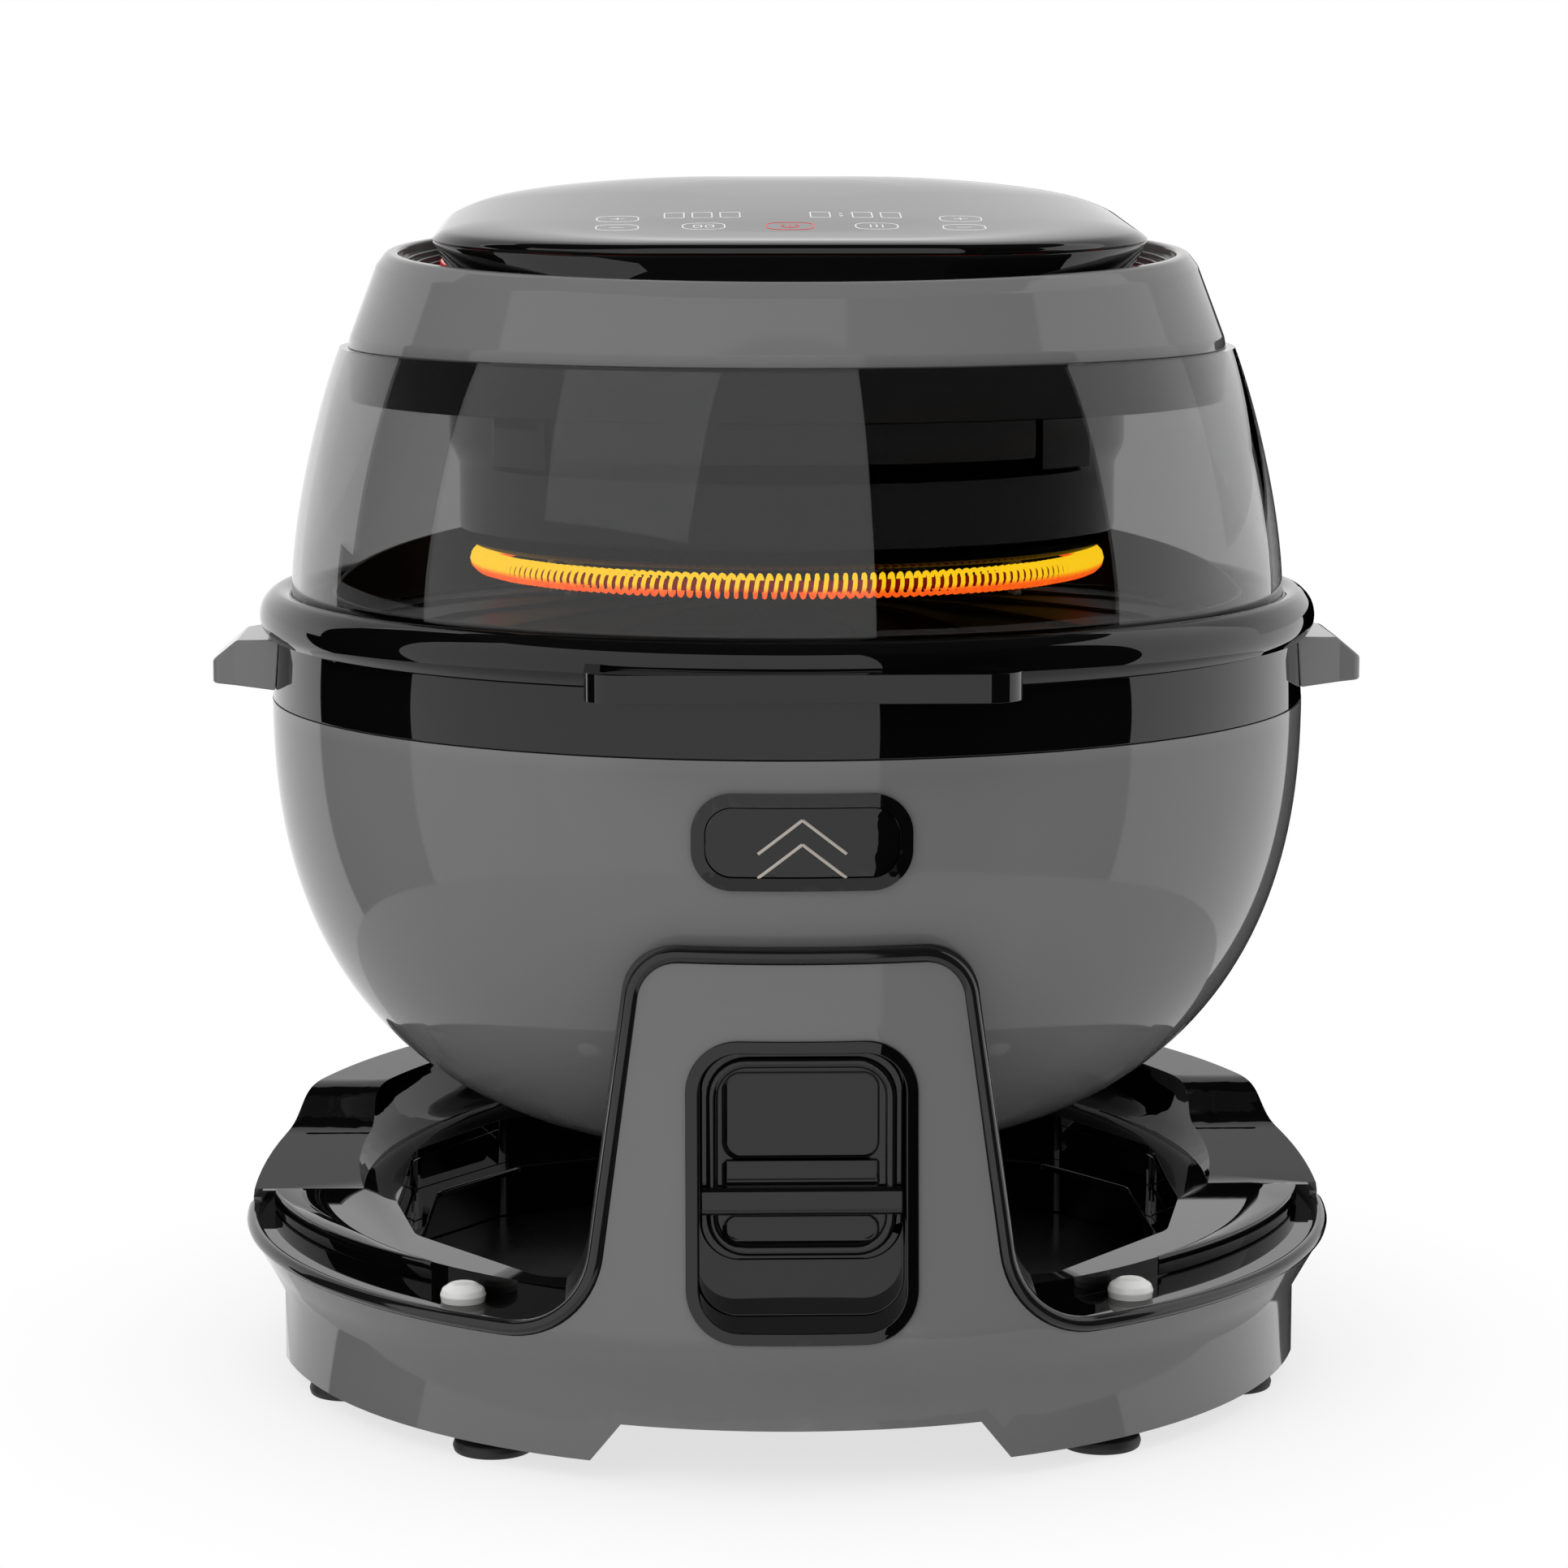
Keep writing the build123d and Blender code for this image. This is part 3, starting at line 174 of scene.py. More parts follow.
def edged(obj, width=None, segments=2, angle=38.0):
    """Round the sharp edges of a piece, by the usual moulded edge or a width in millimetres."""
    bevel = obj.modifiers.new("Edges", "BEVEL")
    bevel.width = width * MM if width else bpy.context.scene.grill_shape.edge
    bevel.segments = segments
    bevel.limit_method = "ANGLE"
    bevel.angle_limit = math.radians(angle)
    bevel.miter_outer = "MITER_ARC"
    bevel.harden_normals = True
    weight = obj.modifiers.new("Normals", "WEIGHTED_NORMAL")
    weight.keep_sharp = True
    return obj


def rounded(points, steps=4):
    """A closed outline from (u, v, radius) corners, each corner rounded by its radius."""
    outline = []
    count = len(points)
    for index, (u, v, radius) in enumerate(points):
        corner = Vector((u, v))
        before = Vector(points[index - 1][:2]) - corner
        after = Vector(points[(index + 1) % count][:2]) - corner
        half = before.angle(after, math.pi) / 2
        if radius <= 0 or half > 1.55:
            outline.append((u, v))
            continue
        reach = min(radius / math.tan(half), before.length * 0.49, after.length * 0.49)
        real = reach * math.tan(half)
        middle = corner + (before.normalized() + after.normalized()).normalized() * (real / math.sin(half))
        start = corner + before.normalized() * reach - middle
        turn = start.angle_signed(corner + after.normalized() * reach - middle)
        for step in range(steps + 1):
            spoke = start.copy()
            spoke.rotate(Matrix.Rotation(-turn * step / steps, 2))
            outline.append(tuple(middle + spoke))
    return outline


def smooth_line(points, steps=5):
    """Points of a smooth open curve through the given ones."""
    line = []
    spans = len(points) - 1
    for index in range(spans):
        before = points[max(index - 1, 0)]
        here, there = points[index], points[index + 1]
        after = points[min(index + 2, spans)]
        for step in range(steps):
            t = step / steps
            line.append(tuple(
                0.5 * (2 * b + (c - a) * t + (2 * a - 5 * b + 4 * c - d) * t * t
                       + (3 * b - a - 3 * c + d) * t ** 3)
                for a, b, c, d in zip(before, here, there, after)))
    line.append(tuple(points[-1]))
    return line


def turned_bm(outline, steps=TURN_STEPS):
    """A bmesh turned about the Z axis from a closed outline of (radius, height) in millimetres."""
    bm = bmesh.new()
    verts = [bm.verts.new((radius * MM, 0, height * MM)) for radius, height in outline]
    pairs = zip(verts, verts[1:] + verts[:1])
    edges = [bm.edges.new(pair) for pair in pairs if pair[0].co != pair[1].co]
    bmesh.ops.spin(bm, geom=verts + edges, cent=(0, 0, 0), axis=(0, 0, 1), dvec=(0, 0, 0),
                   angle=math.tau, steps=steps, use_merge=True)
    bmesh.ops.remove_doubles(bm, verts=bm.verts[:], dist=2e-6)
    flat = [face for face in bm.faces if face.calc_area() < 1e-12]
    bmesh.ops.delete(bm, geom=flat, context="FACES_ONLY")
    bmesh.ops.recalc_face_normals(bm, faces=bm.faces[:])
    return bm


def turned(name, outline, sharp=35.0):
    return mesh_object(name, turned_bm(outline), sharp)


def turned_at(name, outline, steps, radius, degrees, sharp=35.0):
    """A turned piece, moved out by radius and then round the object's axis by degrees."""
    bm = turned_bm(outline, steps)
    bm.transform(Matrix.Rotation(math.radians(degrees), 4, "Z") @ Matrix.Translation((radius * MM, 0, 0)))
    return mesh_object(name, bm, sharp)


def prism(name, outline, plane, low, high):
    """A closed prism: plane "front" pushes an outline of (x, z) along Y, "top" one of (x, y) along Z."""
    bm = bmesh.new()
    if plane == "front":
        points = [(u * MM, low * MM, v * MM) for u, v in outline]
        way = Vector((0, (high - low) * MM, 0))
    else:
        points = [(u * MM, v * MM, low * MM) for u, v in outline]
        way = Vector((0, 0, (high - low) * MM))
    face = bm.faces.new([bm.verts.new(point) for point in points])
    pushed = bmesh.ops.extrude_face_region(bm, geom=[face])["geom"]
    verts = [item for item in pushed if isinstance(item, bmesh.types.BMVert)]
    bmesh.ops.translate(bm, verts=verts, vec=way)
    bmesh.ops.recalc_face_normals(bm, faces=bm.faces[:])
    return mesh_object(name, bm)


def box_outline(width, height, radius, u=0.0, v=0.0, steps=8):
    """A rounded rectangle about (u, v), in millimetres."""
    half_u, half_v = width / 2, height / 2
    return rounded([(u - half_u, v - half_v, radius), (u + half_u, v - half_v, radius),
                    (u + half_u, v + half_v, radius), (u - half_u, v + half_v, radius)], steps)


def dressed(node, material, width=None, segments=2, angle=38.0):
    """A merged copy of a CAD node's mesh in its place, its edges rounded unless width is 0."""
    bm = bmesh.new()
    bm.from_mesh(frame["nodes"][node].data)
    bmesh.ops.remove_doubles(bm, verts=bm.verts[:], dist=5e-6)
    bmesh.ops.dissolve_degenerate(bm, edges=bm.edges[:], dist=5e-6)
    bmesh.ops.dissolve_limit(bm, angle_limit=math.radians(0.6), verts=bm.verts[:], edges=bm.edges[:],
                             use_dissolve_boundaries=False, delimit=set())
    obj = mesh_object(node + "_skin", bm, 28.0)
    if width != 0:
        edged(obj, width, segments, angle)
    return stand_in(obj, material, node)


def wire(name, points, radius, cyclic=False, sides=2):
    """A round wire along points in metres, as a mesh."""
    curve = bpy.data.curves.new(name, "CURVE")
    curve.dimensions = "3D"
    curve.bevel_depth = radius
    curve.bevel_resolution = sides
    curve.use_fill_caps = True
    spline = curve.splines.new("POLY")
    spline.points.add(len(points) - 1)
    for point, place_at in zip(spline.points, points):
        point.co = (*place_at, 1)
    spline.use_cyclic_u = cyclic
    holder = bpy.data.objects.new(name + "_curve", curve)
    bpy.context.scene.collection.objects.link(holder)
    graph = bpy.context.evaluated_depsgraph_get()
    graph.update()
    mesh = bpy.data.meshes.new_from_object(holder.evaluated_get(graph))
    bpy.data.objects.remove(holder)
    bpy.data.curves.remove(curve)
    bm = bmesh.new()
    bm.from_mesh(mesh)
    bpy.data.meshes.remove(mesh)
    return mesh_object(name, bm, 50)


def joined(name, objects):
    """One object from several, with their meshes joined."""
    bm = bmesh.new()
    for obj in objects:
        bm.from_mesh(obj.data)
        mesh = obj.data
        bpy.data.objects.remove(obj)
        bpy.data.meshes.remove(mesh)
    return mesh_object(name, bm)


# Shader nodes, shared node groups and materials

def feed(tree, socket, value):
    """Link a socket to another one, or set it to a number or colour."""
    if isinstance(value, bpy.types.NodeSocket):
        tree.links.new(value, socket)
    else:
        socket.default_value = value


def math_node(tree, operation, *values, clamp=False):
    node = tree.nodes.new("ShaderNodeMath")
    node.operation = operation
    node.use_clamp = clamp
    for socket, value in zip(node.inputs, values):
        feed(tree, socket, value)
    return node.outputs[0]


def mix_colours(tree, share, first, second, blend="MIX"):
    """The first colour where share is 0 and the second where it is 1."""
    node = tree.nodes.new("ShaderNodeMix")
    node.data_type = "RGBA"
    node.blend_type = blend
    for index, value in ((0, share), (6, first), (7, second)):
        feed(tree, node.inputs[index], value)
    return node.outputs[2]


def spread(tree, value, low, high, to_low=0.0, to_high=1.0, smooth=False):
    """A value between low and high, mapped to to_low and to_high."""
    node = tree.nodes.new("ShaderNodeMapRange")
    if smooth:
        node.interpolation_type = "SMOOTHSTEP"
    labels = ("Value", "From Min", "From Max", "To Min", "To Max")
    for label, level in zip(labels, (value, low, high, to_low, to_high)):
        feed(tree, node.inputs[label], level)
    return node.outputs["Result"]


def object_noise(tree, scale, **settings):
    """Noise on Object coordinates, from 0 to 1."""
    where = tree.nodes.new("ShaderNodeTexCoord")
    noise = tree.nodes.new("ShaderNodeTexNoise")
    feed(tree, noise.inputs["Vector"], where.outputs["Object"])
    feed(tree, noise.inputs["Scale"], scale)
    for label, value in settings.items():
        feed(tree, noise.inputs[label], value)
    return noise.outputs["Fac"]


def seen_directly(tree):
    """1 for camera rays and for those that come through the dome."""
    rays = tree.nodes.new("ShaderNodeLightPath")
    return math_node(tree, "MAXIMUM", rays.outputs["Is Camera Ray"], rays.outputs["Is Transmission Ray"])


def new_group(name, output, **inputs):
    """A node group with named number inputs and one output, with its tree's two end nodes."""
    group = bpy.data.node_groups.new(name, "ShaderNodeTree")
    for label, value in inputs.items():
        socket = group.interface.new_socket(name=label, in_out="INPUT", socket_type="NodeSocketFloat")
        socket.default_value = value
    group.interface.new_socket(name=output, in_out="OUTPUT", socket_type="NodeSocketFloat")
    return group, group.nodes.new("NodeGroupInput").outputs, group.nodes.new("NodeGroupOutput").inputs[output]


def grain_group():
    """Fine moulded or cast grain: a height for bump."""
    group, given, height = new_group("Moulded grain", "Height", Scale=900.0)
    feed(group, height, object_noise(group, given["Scale"], Detail=3.0))
    return group


def haze_group():
    """Broad handling haze: a soft mask from 0 to 1 that shifts shade and roughness."""
    group, given, mask = new_group("Handling haze", "Mask", Scale=9.0, Low=0.4, High=0.7)
    broad = object_noise(group, given["Scale"], Detail=4.0, Distortion=0.6)
    feed(group, mask, spread(group, broad, given["Low"], given["High"]))
    return group


def wear_group():
    """Rubbed edges: a mask that is 1 on the most exposed edges."""
    group, given, mask = new_group("Rubbed edges", "Mask", Low=0.53, High=0.6)
    shape = group.nodes.new("ShaderNodeNewGeometry")
    feed(group, mask, spread(group, shape.outputs["Pointiness"], given["Low"], given["High"]))
    return group


def from_group(tree, group, **values):
    """The output of a shared node group placed in a material with its own values."""
    node = tree.nodes.new("ShaderNodeGroup")
    node.node_tree = group
    for label, value in values.items():
        feed(tree, node.inputs[label], value)
    return node.outputs[0]


def new_material(name, **sockets):
    """A material with its node tree and its surface, whose sockets are set by label."""
    material = bpy.data.materials.new(name)
    material.use_nodes = True
    tree = material.node_tree
    surface = tree.nodes["Principled BSDF"]
    for label, value in sockets.items():
        feed(tree, surface.inputs[label], value)
    return material, tree, surface


def finish(name, colour, shade=0.9, rough=(0.3, 0.4), grain=900.0, bump=0.05, bump_height=0.05 * MM,
           haze=9.0, wear=0.0, **sockets):
    """A moulded, cast or plated finish with grain, haze and lightly rubbed edges."""
    material, tree, surface = new_material(name, **sockets)
    hazy = from_group(tree, made["haze"], Scale=haze)
    base = mix_colours(tree, hazy, (*colour, 1), (*(level * shade for level in colour), 1))
    if wear:
        rubbed = (*(min(1, level * (1 + wear) + 0.01 * wear) for level in colour), 1)
        base = mix_colours(tree, from_group(tree, made["wear"]), base, rubbed)
    feed(tree, surface.inputs["Base Color"], base)
    feed(tree, surface.inputs["Roughness"], spread(tree, hazy, 0.0, 1.0, *rough))
    if bump:
        bumps = tree.nodes.new("ShaderNodeBump")
        feed(tree, bumps.inputs["Strength"], bump)
        feed(tree, bumps.inputs["Distance"], bump_height)
        feed(tree, bumps.inputs["Height"], from_group(tree, made["grain"], Scale=grain))
        feed(tree, surface.inputs["Normal"], bumps.outputs["Normal"])
    return material


def glowing_wire(high, low):
    """Heater wire, yellow on its outer crests and red towards the core."""
    valley_height, crest_height = 281.0 * MM, 284.0 * MM
    mirrored_strength, seen_strength = 0.45, 2.4
    material, tree, surface = new_material(
        "Glowing wire", **{"Base Color": (0.2, 0.05, 0.02, 1), "Roughness": 0.6})
    where = tree.nodes.new("ShaderNodeTexCoord")
    place_of = tree.nodes.new("ShaderNodeSeparateXYZ")
    feed(tree, place_of.inputs["Vector"], where.outputs["Object"])
    crest = spread(tree, place_of.outputs["Z"], valley_height, crest_height, smooth=True)
    flicker = object_noise(tree, 260.0)
    share = math_node(tree, "MULTIPLY_ADD", flicker, 0.25, crest, clamp=True)
    feed(tree, surface.inputs["Emission Color"], mix_colours(tree, share, (*low, 1), (*high, 1)))
    strength = spread(tree, seen_directly(tree), 0.0, 1.0, mirrored_strength, seen_strength)
    feed(tree, surface.inputs["Emission Strength"], strength)
    return material


def brushed(name, colour, rough=0.3, grain=700.0):
    return finish(name, colour, shade=0.85, rough=(rough * 0.8, rough * 1.2), grain=grain, bump=0.1,
                  haze=25.0, Metallic=1.0)


def glowing(colour, strength):
    """Sockets of a finish with a painted glow: a little emitted light on a part that is no lamp."""
    return {"Emission Color": (*colour, 1), "Emission Strength": strength}


def build_materials():
    colours = bpy.context.scene.grill_finish
    made["grain"] = grain_group()
    made["haze"] = haze_group()
    made["wear"] = wear_group()
    made.update({
        "grey": finish("Grey plastic", colours.grey, shade=0.96, rough=(0.05, 0.075), grain=1500.0, bump=0.03,
                       bump_height=0.02 * MM, wear=0.12, **{"Specular IOR Level": 0.25}),
        "gloss": finish("Black gloss", colours.gloss, shade=0.8, rough=(0.012, 0.03), bump=0.0, wear=0.5),
        "satin": finish("Black moulding", (0.011, 0.011, 0.011), rough=(0.2, 0.3), grain=1200.0, bump=0.15,
                        wear=0.4),
        "bead": finish("Dark bead", (0.006, 0.006, 0.006), rough=(0.05, 0.1), bump=0.0, wear=0.3),
        "rubber": finish("Rubber", (0.012, 0.012, 0.012), rough=(0.55, 0.7), grain=600.0, bump=0.3, wear=0.3),
        "cap": finish("White cap", (0.82, 0.82, 0.8), shade=0.96, rough=(0.15, 0.22), bump=0.02),
        "steel": brushed("Bright steel", (0.55, 0.55, 0.56)),
        "zinc": brushed("Zinc sheet", (0.42, 0.43, 0.44), 0.42, 220.0),
        "coating": finish("Cooking coating", (0.012, 0.012, 0.012), shade=0.8, rough=(0.3, 0.42), grain=800.0,
                          bump=0.2, wear=0.6),
        "enamel": finish("Heat-proof enamel", (0.003, 0.003, 0.003), shade=0.8, rough=(0.04, 0.07),
                         bump=0.02),
        # Red accent: its own red colour plus a painted glow, emitted light on the heater core and the accent
        # ring, which are no lamps.
        "red": finish("Red accent with painted glow", (0.5, 0.008, 0.008), rough=(0.1, 0.2), bump=0.0,
                      **glowing((0.7, 0.01, 0.01), 0.35)),
        "ceramic": finish("Ceramic", (0.62, 0.56, 0.47), rough=(0.6, 0.7), grain=1500.0, bump=0.2),
        "board": finish("Circuit board", (0.01, 0.09, 0.03), rough=(0.25, 0.35), grain=300.0, bump=0.1),
        "smoke": finish("Smoked glass", colours.smoke, shade=0.97, rough=(0.0, 0.006), bump=0.0, haze=6.0,
                        **{"Transmission Weight": 1.0, "IOR": 1.46}),
        "glow": glowing_wire(colours.glow_high, colours.glow_low),
        "legend": finish("Legend print", colours.legend, shade=0.95, bump=0.0),
        # Power key print: its own red print plus a painted glow of emitted light.
        "power": finish("Power key print with painted glow", (0.5, 0.01, 0.01), bump=0.0, **glowing((0.9, 0.01, 0.01), 0.3)),
        "beige": finish("Chevron print", (0.42, 0.38, 0.34), shade=0.95, bump=0.0),
    })


# Shared shapes

BOWL_TOP, BOWL_DEPTH, BOWL_FLOOR, BOWL_RADIUS, BOWL_WALL = 236.0, 156.6, 83.4, 180.0, 2.6


def bowl_radius(drop, radius):
    """The bowl's radius at a share of its depth below the top."""
    return radius * (1 - drop ** 2.334) ** (1 / 2.823)


def bowl_line(inset, steps=40):
    """Outline of the bowl from its floor to its top as (radius, height)."""
    floor = BOWL_FLOOR + inset
    line = []
    for step in range(steps + 1):
        height = floor + (BOWL_TOP - floor) * (step / steps) ** 1.4
        line.append((bowl_radius((BOWL_TOP - height) / (BOWL_DEPTH - inset), BOWL_RADIUS - inset), height))
    return line


def bowl_front(x, z, stand):
    """The Y of the bowl's front surface at x and z, in millimetres, moved out by stand."""
    radius = bowl_radius(max(0.0, BOWL_TOP - z) / BOWL_DEPTH, BOWL_RADIUS) + stand
    return -math.sqrt(max(0.0, radius ** 2 - x ** 2))


STAND_PROFILE = ((181.0, 7.0), (181.0, 31.0), (190.5, 48.0), (190.5, 54.0), (187.0, 80.0), (183.0, 114.0),
                 (178.0, 176.0), (177.6, 182.0))


def stand_radius(z):
    """Radius of the stand's outer face at a height, in millimetres."""
    for (low_r, low_z), (high_r, high_z) in zip(STAND_PROFILE, STAND_PROFILE[1:]):
        if low_z <= z <= high_z and high_z > low_z:
            return low_r + (high_r - low_r) * (z - low_z) / (high_z - low_z)
    return STAND_PROFILE[-1][0] if z > STAND_PROFILE[-1][1] else STAND_PROFILE[0][0]


TOWER_FOOT, TOWER_TOP, DECK_RIM, TOWER_CREST = 71.5, 54.8, 53.0, 176.0


def tower_line(inset):
    """Front view of the stand's top edge, left to right, with rounded corners, set in by inset."""
    lean, rise = TOWER_FOOT - TOWER_TOP, TOWER_CREST - DECK_RIM
    side = inset * (math.hypot(rise, lean) / rise)
    foot, top = TOWER_FOOT - side, TOWER_TOP - side
    rim, crest = DECK_RIM - inset, TOWER_CREST - inset
    shift = lean / rise * inset
    end, below = 205.0, -40.0
    foot_round, top_round = 28 + inset, 18 - inset * 0.8
    corners = [(-end, rim, 0), (-foot - shift, rim, foot_round), (-top + shift, crest, top_round),
               (top - shift, crest, top_round), (foot + shift, rim, foot_round), (end, rim, 0)]
    closed = rounded(corners + [(end, below, 0), (-end, below, 0)], steps=16)
    return [point for point in closed if point[1] > below]


# One operator for each group of pieces

class GRILL_OT_stand(bpy.types.Operator):
    """Add the base stand: shell, bead, deck, well, pan and tower frame"""
    bl_idname = "grill.stand"
    bl_label = "Base stand"

    def execute(self, context):
        shell = dressed("base_shell", "grey", width=0.8, segments=3)
        shell.name = "stand_shell"
        self.bead(context)
        dressed("base_deck", "gloss", width=1.0, segments=3)
        self.front_plate()
        for node in ("deck_well", "well_ledge"):
            dressed(node, "gloss", width=0.6)
        for node in ("base_pan", "tower_frame", "bowl_cradle"):
            dressed(node, "satin")
        return {"FINISHED"}

    def front_plate(self):
        """Widen the inner deck's front towards the rim, where it runs out along the side."""
        front, steps = -105.0, 40
        rim_radius, rim_shift, most_radius = 187.0, 37.0, 186.4
        inner_radius, inner_shift = 164.5, 8.0
        plate_foot, plate_top = 50.1, 57.05
        depths = [front - front * step / steps for step in range(steps + 1)]
        outer, inner = [], []
        for y in depths:
            rim = math.sqrt(rim_radius ** 2 - (y - rim_shift) ** 2)
            outer.append((min(rim, math.sqrt(most_radius ** 2 - y * y)), y))
            inner.append((math.sqrt(inner_radius ** 2 - (y - inner_shift) ** 2), y))
        plates = []
        for side in (-1, 1):
            line = [(side * x, y) for x, y in outer + inner[::-1]]
            plates.append(baked(edged(prism("plate", line, "top", plate_foot, plate_top), 0.8, 3)))
        place(joined("deck_front_plates", plates), "base", "gloss")

    def bead(self, context):
        """Run the dark bead over the tower's edge and along the deck's rim to the middle of each side."""
        width = context.scene.grill_shape.bead / MM
        sunk, short_of_side, piece_length, rim_steps = 0.9, 0.4, 2.5, 60
        points = [(x, z) for x, z in tower_line(width / 2) if abs(x) < stand_radius(z) - short_of_side]
        edge = []
        for (x, z), (next_x, next_z) in zip(points, points[1:]):
            parts = max(1, int(math.hypot(next_x - x, next_z - z) / piece_length))
            edge += [(x + (next_x - x) * i / parts, z + (next_z - z) * i / parts) for i in range(parts)]
        edge.append(points[-1])
        first_x, rim_z = edge[0]
        radius = stand_radius(rim_z) - sunk
        reach = math.acos(-first_x / radius)
        angles = [reach * step / rim_steps for step in range(rim_steps)]
        left = [(-radius * math.cos(angle), -radius * math.sin(angle), rim_z) for angle in angles]
        path = left + [(x, -math.sqrt(max(0.0, (stand_radius(z) - sunk) ** 2 - x * x)), z) for x, z in edge]
        path += [(-x, y, z) for x, y, z in reversed(left)]
        path = [tuple(part * MM for part in point) for point in path]
        stand_in(wire("stand_bead", path, width / 2 * MM, sides=4), "bead", "base_trim")


class GRILL_OT_feet(bpy.types.Operator):
    """Add the rubber feet, the white rest bumpers and the screws under the pan"""
    bl_idname = "grill.feet"
    bl_label = "Feet and bumpers"

    def execute(self, context):
        foot = rounded([(0, 0, 0), (13.0, 0, 0.8), (13.5, 2.0, 1.0), (12.8, 4.0, 1.0), (9.5, 5.0, 0.6),
                        (8.6, 7.0, 0.6), (8.5, 21.0, 0), (0, 21.0, 0)], 3)
        feet = [turned_at("foot", foot, 48, 165, side + sign * angle)
                for side in (-90, 90) for angle in (37.5, 68.0) for sign in (-1, 1)]
        stand_in(joined("rubber_feet_skin", feet), "rubber", "rubber_feet")
        cap = rounded([(0, 50.0, 0), (7.2, 50.0, 0), (7.6, 52.2, 0.8), (6.9, 54.2, 1.5), (4.2, 56.0, 3.0),
                       (0, 56.4, 0)], 4)
        caps = [turned_at("cap", cap, 64, 169.5, -90 + sign * 40.5, 60) for sign in (-1, 1)]
        stand_in(joined("rest_bumper_caps", caps), "cap", "rest_bumpers")
        dressed("base_screws", "steel", width=0.3)
        return {"FINISHED"}


class GRILL_OT_latch(bpy.types.Operator):
    """Add the latch on the tower: tray, slider, spring, seat and the keeper on the bowl"""
    bl_idname = "grill.latch"
    bl_label = "Latch"

    def execute(self, context):
        dressed("latch_tray", "gloss", width=0.7, segments=3)
        dressed("latch_slider", "gloss", width=0.9, segments=3)
        rim_front = -174.6
        rim = [(x * MM, rim_front * MM, z * MM) for x, z in box_outline(57.0, 61.0, 11.0, 0, 108.5)]
        rim = wire("latch_slider_rim", rim, 1.9 * MM, cyclic=True, sides=4)
        place(rim, "latch", "gloss")
        dressed("latch_spring", "steel", width=0)
        for node in ("spring_seat", "bowl_keeper"):
            dressed(node, "satin")
        return {"FINISHED"}


class GRILL_OT_bowl(bpy.types.Operator):
    """Add the grey bowl, the black rim band and the two side handles"""
    bl_idname = "grill.bowl"
    bl_label = "Bowl"

    def execute(self, context):
        outline = bowl_line(0) + list(reversed(bowl_line(BOWL_WALL)))
        outline = [(0, BOWL_FLOOR)] + outline + [(0, BOWL_FLOOR + BOWL_WALL)]
        bowl = turned("bowl_skin", outline, sharp=50)
        hole = prism("hole", box_outline(64.0, 25.2, 10.0, 0, 210.2), "front", -190, -155)
        cut(bowl, hole, sharp=50)
        stand_in(bowl, "grey", "bowl_shell")
        band = rounded([(177.0, 236.2, 0), (179.9, 236.2, 0.5), (178.4, 258.4, 0.8), (170.4, 258.4, 0.4),
                        (170.4, 252.0, 0), (162.0, 252.0, 0.4), (162.0, 248.0, 0.4), (170.4, 248.0, 0)])
        stand_in(turned("rim_band_skin", band), "gloss", "rim_band")
        for node in ("handle_left", "handle_right"):
            dressed(node, "grey", width=3.4, segments=6, angle=20)
        return {"FINISHED"}


class GRILL_OT_button(bpy.types.Operator):
    """Add the release button with its bezel, guide, spring and printed chevrons"""
    bl_idname = "grill.button"
    bl_label = "Release button"

    def execute(self, context):
        dressed("button_bezel", "gloss", width=0.6, segments=3)
        dressed("release_button", "gloss", width=0.7, segments=3)
        dressed("button_guide", "satin")
        dressed("button_spring", "steel", width=0)
        half_width, drop, steps = 13.9, 10.9, 14
        chevrons = []
        for apex in (217.6, 209.8):
            for side in (-1, 1):
                line = [(side * half_width * step / steps, apex - drop * step / steps)
                        for step in range(steps + 1)]
                line = [(x * MM, bowl_front(x, z, 1.0) * MM, z * MM) for x, z in line]
                chevrons.append(wire("chevron", line, 0.55 * MM, sides=1))
        place(joined("button_chevrons", chevrons), "button", "beige")
        return {"FINISHED"}


class GRILL_OT_pot(bpy.types.Operator):
    """Add the cooking pot and the ribbed grill plate"""
    bl_idname = "grill.pot"
    bl_label = "Pot and grill plate"

    def execute(self, context):
        outside = smooth_line([(96, 103), (118, 113), (132, 140), (142, 180), (149, 225), (152, 252)])
        inside = smooth_line([(150.5, 256), (147.2, 225.5), (140.2, 180.5), (130.2, 140.5), (116.2, 113.5),
                              (95, 104.5)])
        lip = [(166, 252), (166, 253.5), (153, 253.5)]
        shield = [(158, 262), (159, 300), (157.5, 300), (156.6, 264), (153.8, 256)]
        outline = [(0, 103)] + outside + lip + shield + inside + [(0, 104.5)]
        shield_foot, front_rim, back_rise, shield_radius = 266.0, 273.0, 17.0, 159.0
        bm = turned_bm(outline)
        for vert in bm.verts:
            if vert.co.z > shield_foot * MM:
                share = min(1.0, max(0.0, vert.co.y / MM / shield_radius))
                vert.co.z = (front_rim + back_rise * share) * MM
        pot = mesh_object("cooking_pot_skin", bm, 30)
        stand_in(edged(pot, 0.3), "coating", "cooking_pot")
        dressed("grill_plate", "coating", width=0.4, angle=50)
        return {"FINISHED"}


class GRILL_OT_hinge(bpy.types.Operator):
    """Add the hinge at the back with its pin and arm, and the power inlet"""
    bl_idname = "grill.hinge"
    bl_label = "Hinge and inlet"

    def execute(self, context):
        dressed("hinge_bracket", "satin", width=1.2, segments=3)
        dressed("hinge_pin", "steel", width=0.3)
        dressed("hinge_arm", "satin", width=0.8)
        dressed("power_inlet", "satin")
        dressed("inlet_pins", "steel", width=0.3)
        return {"FINISHED"}


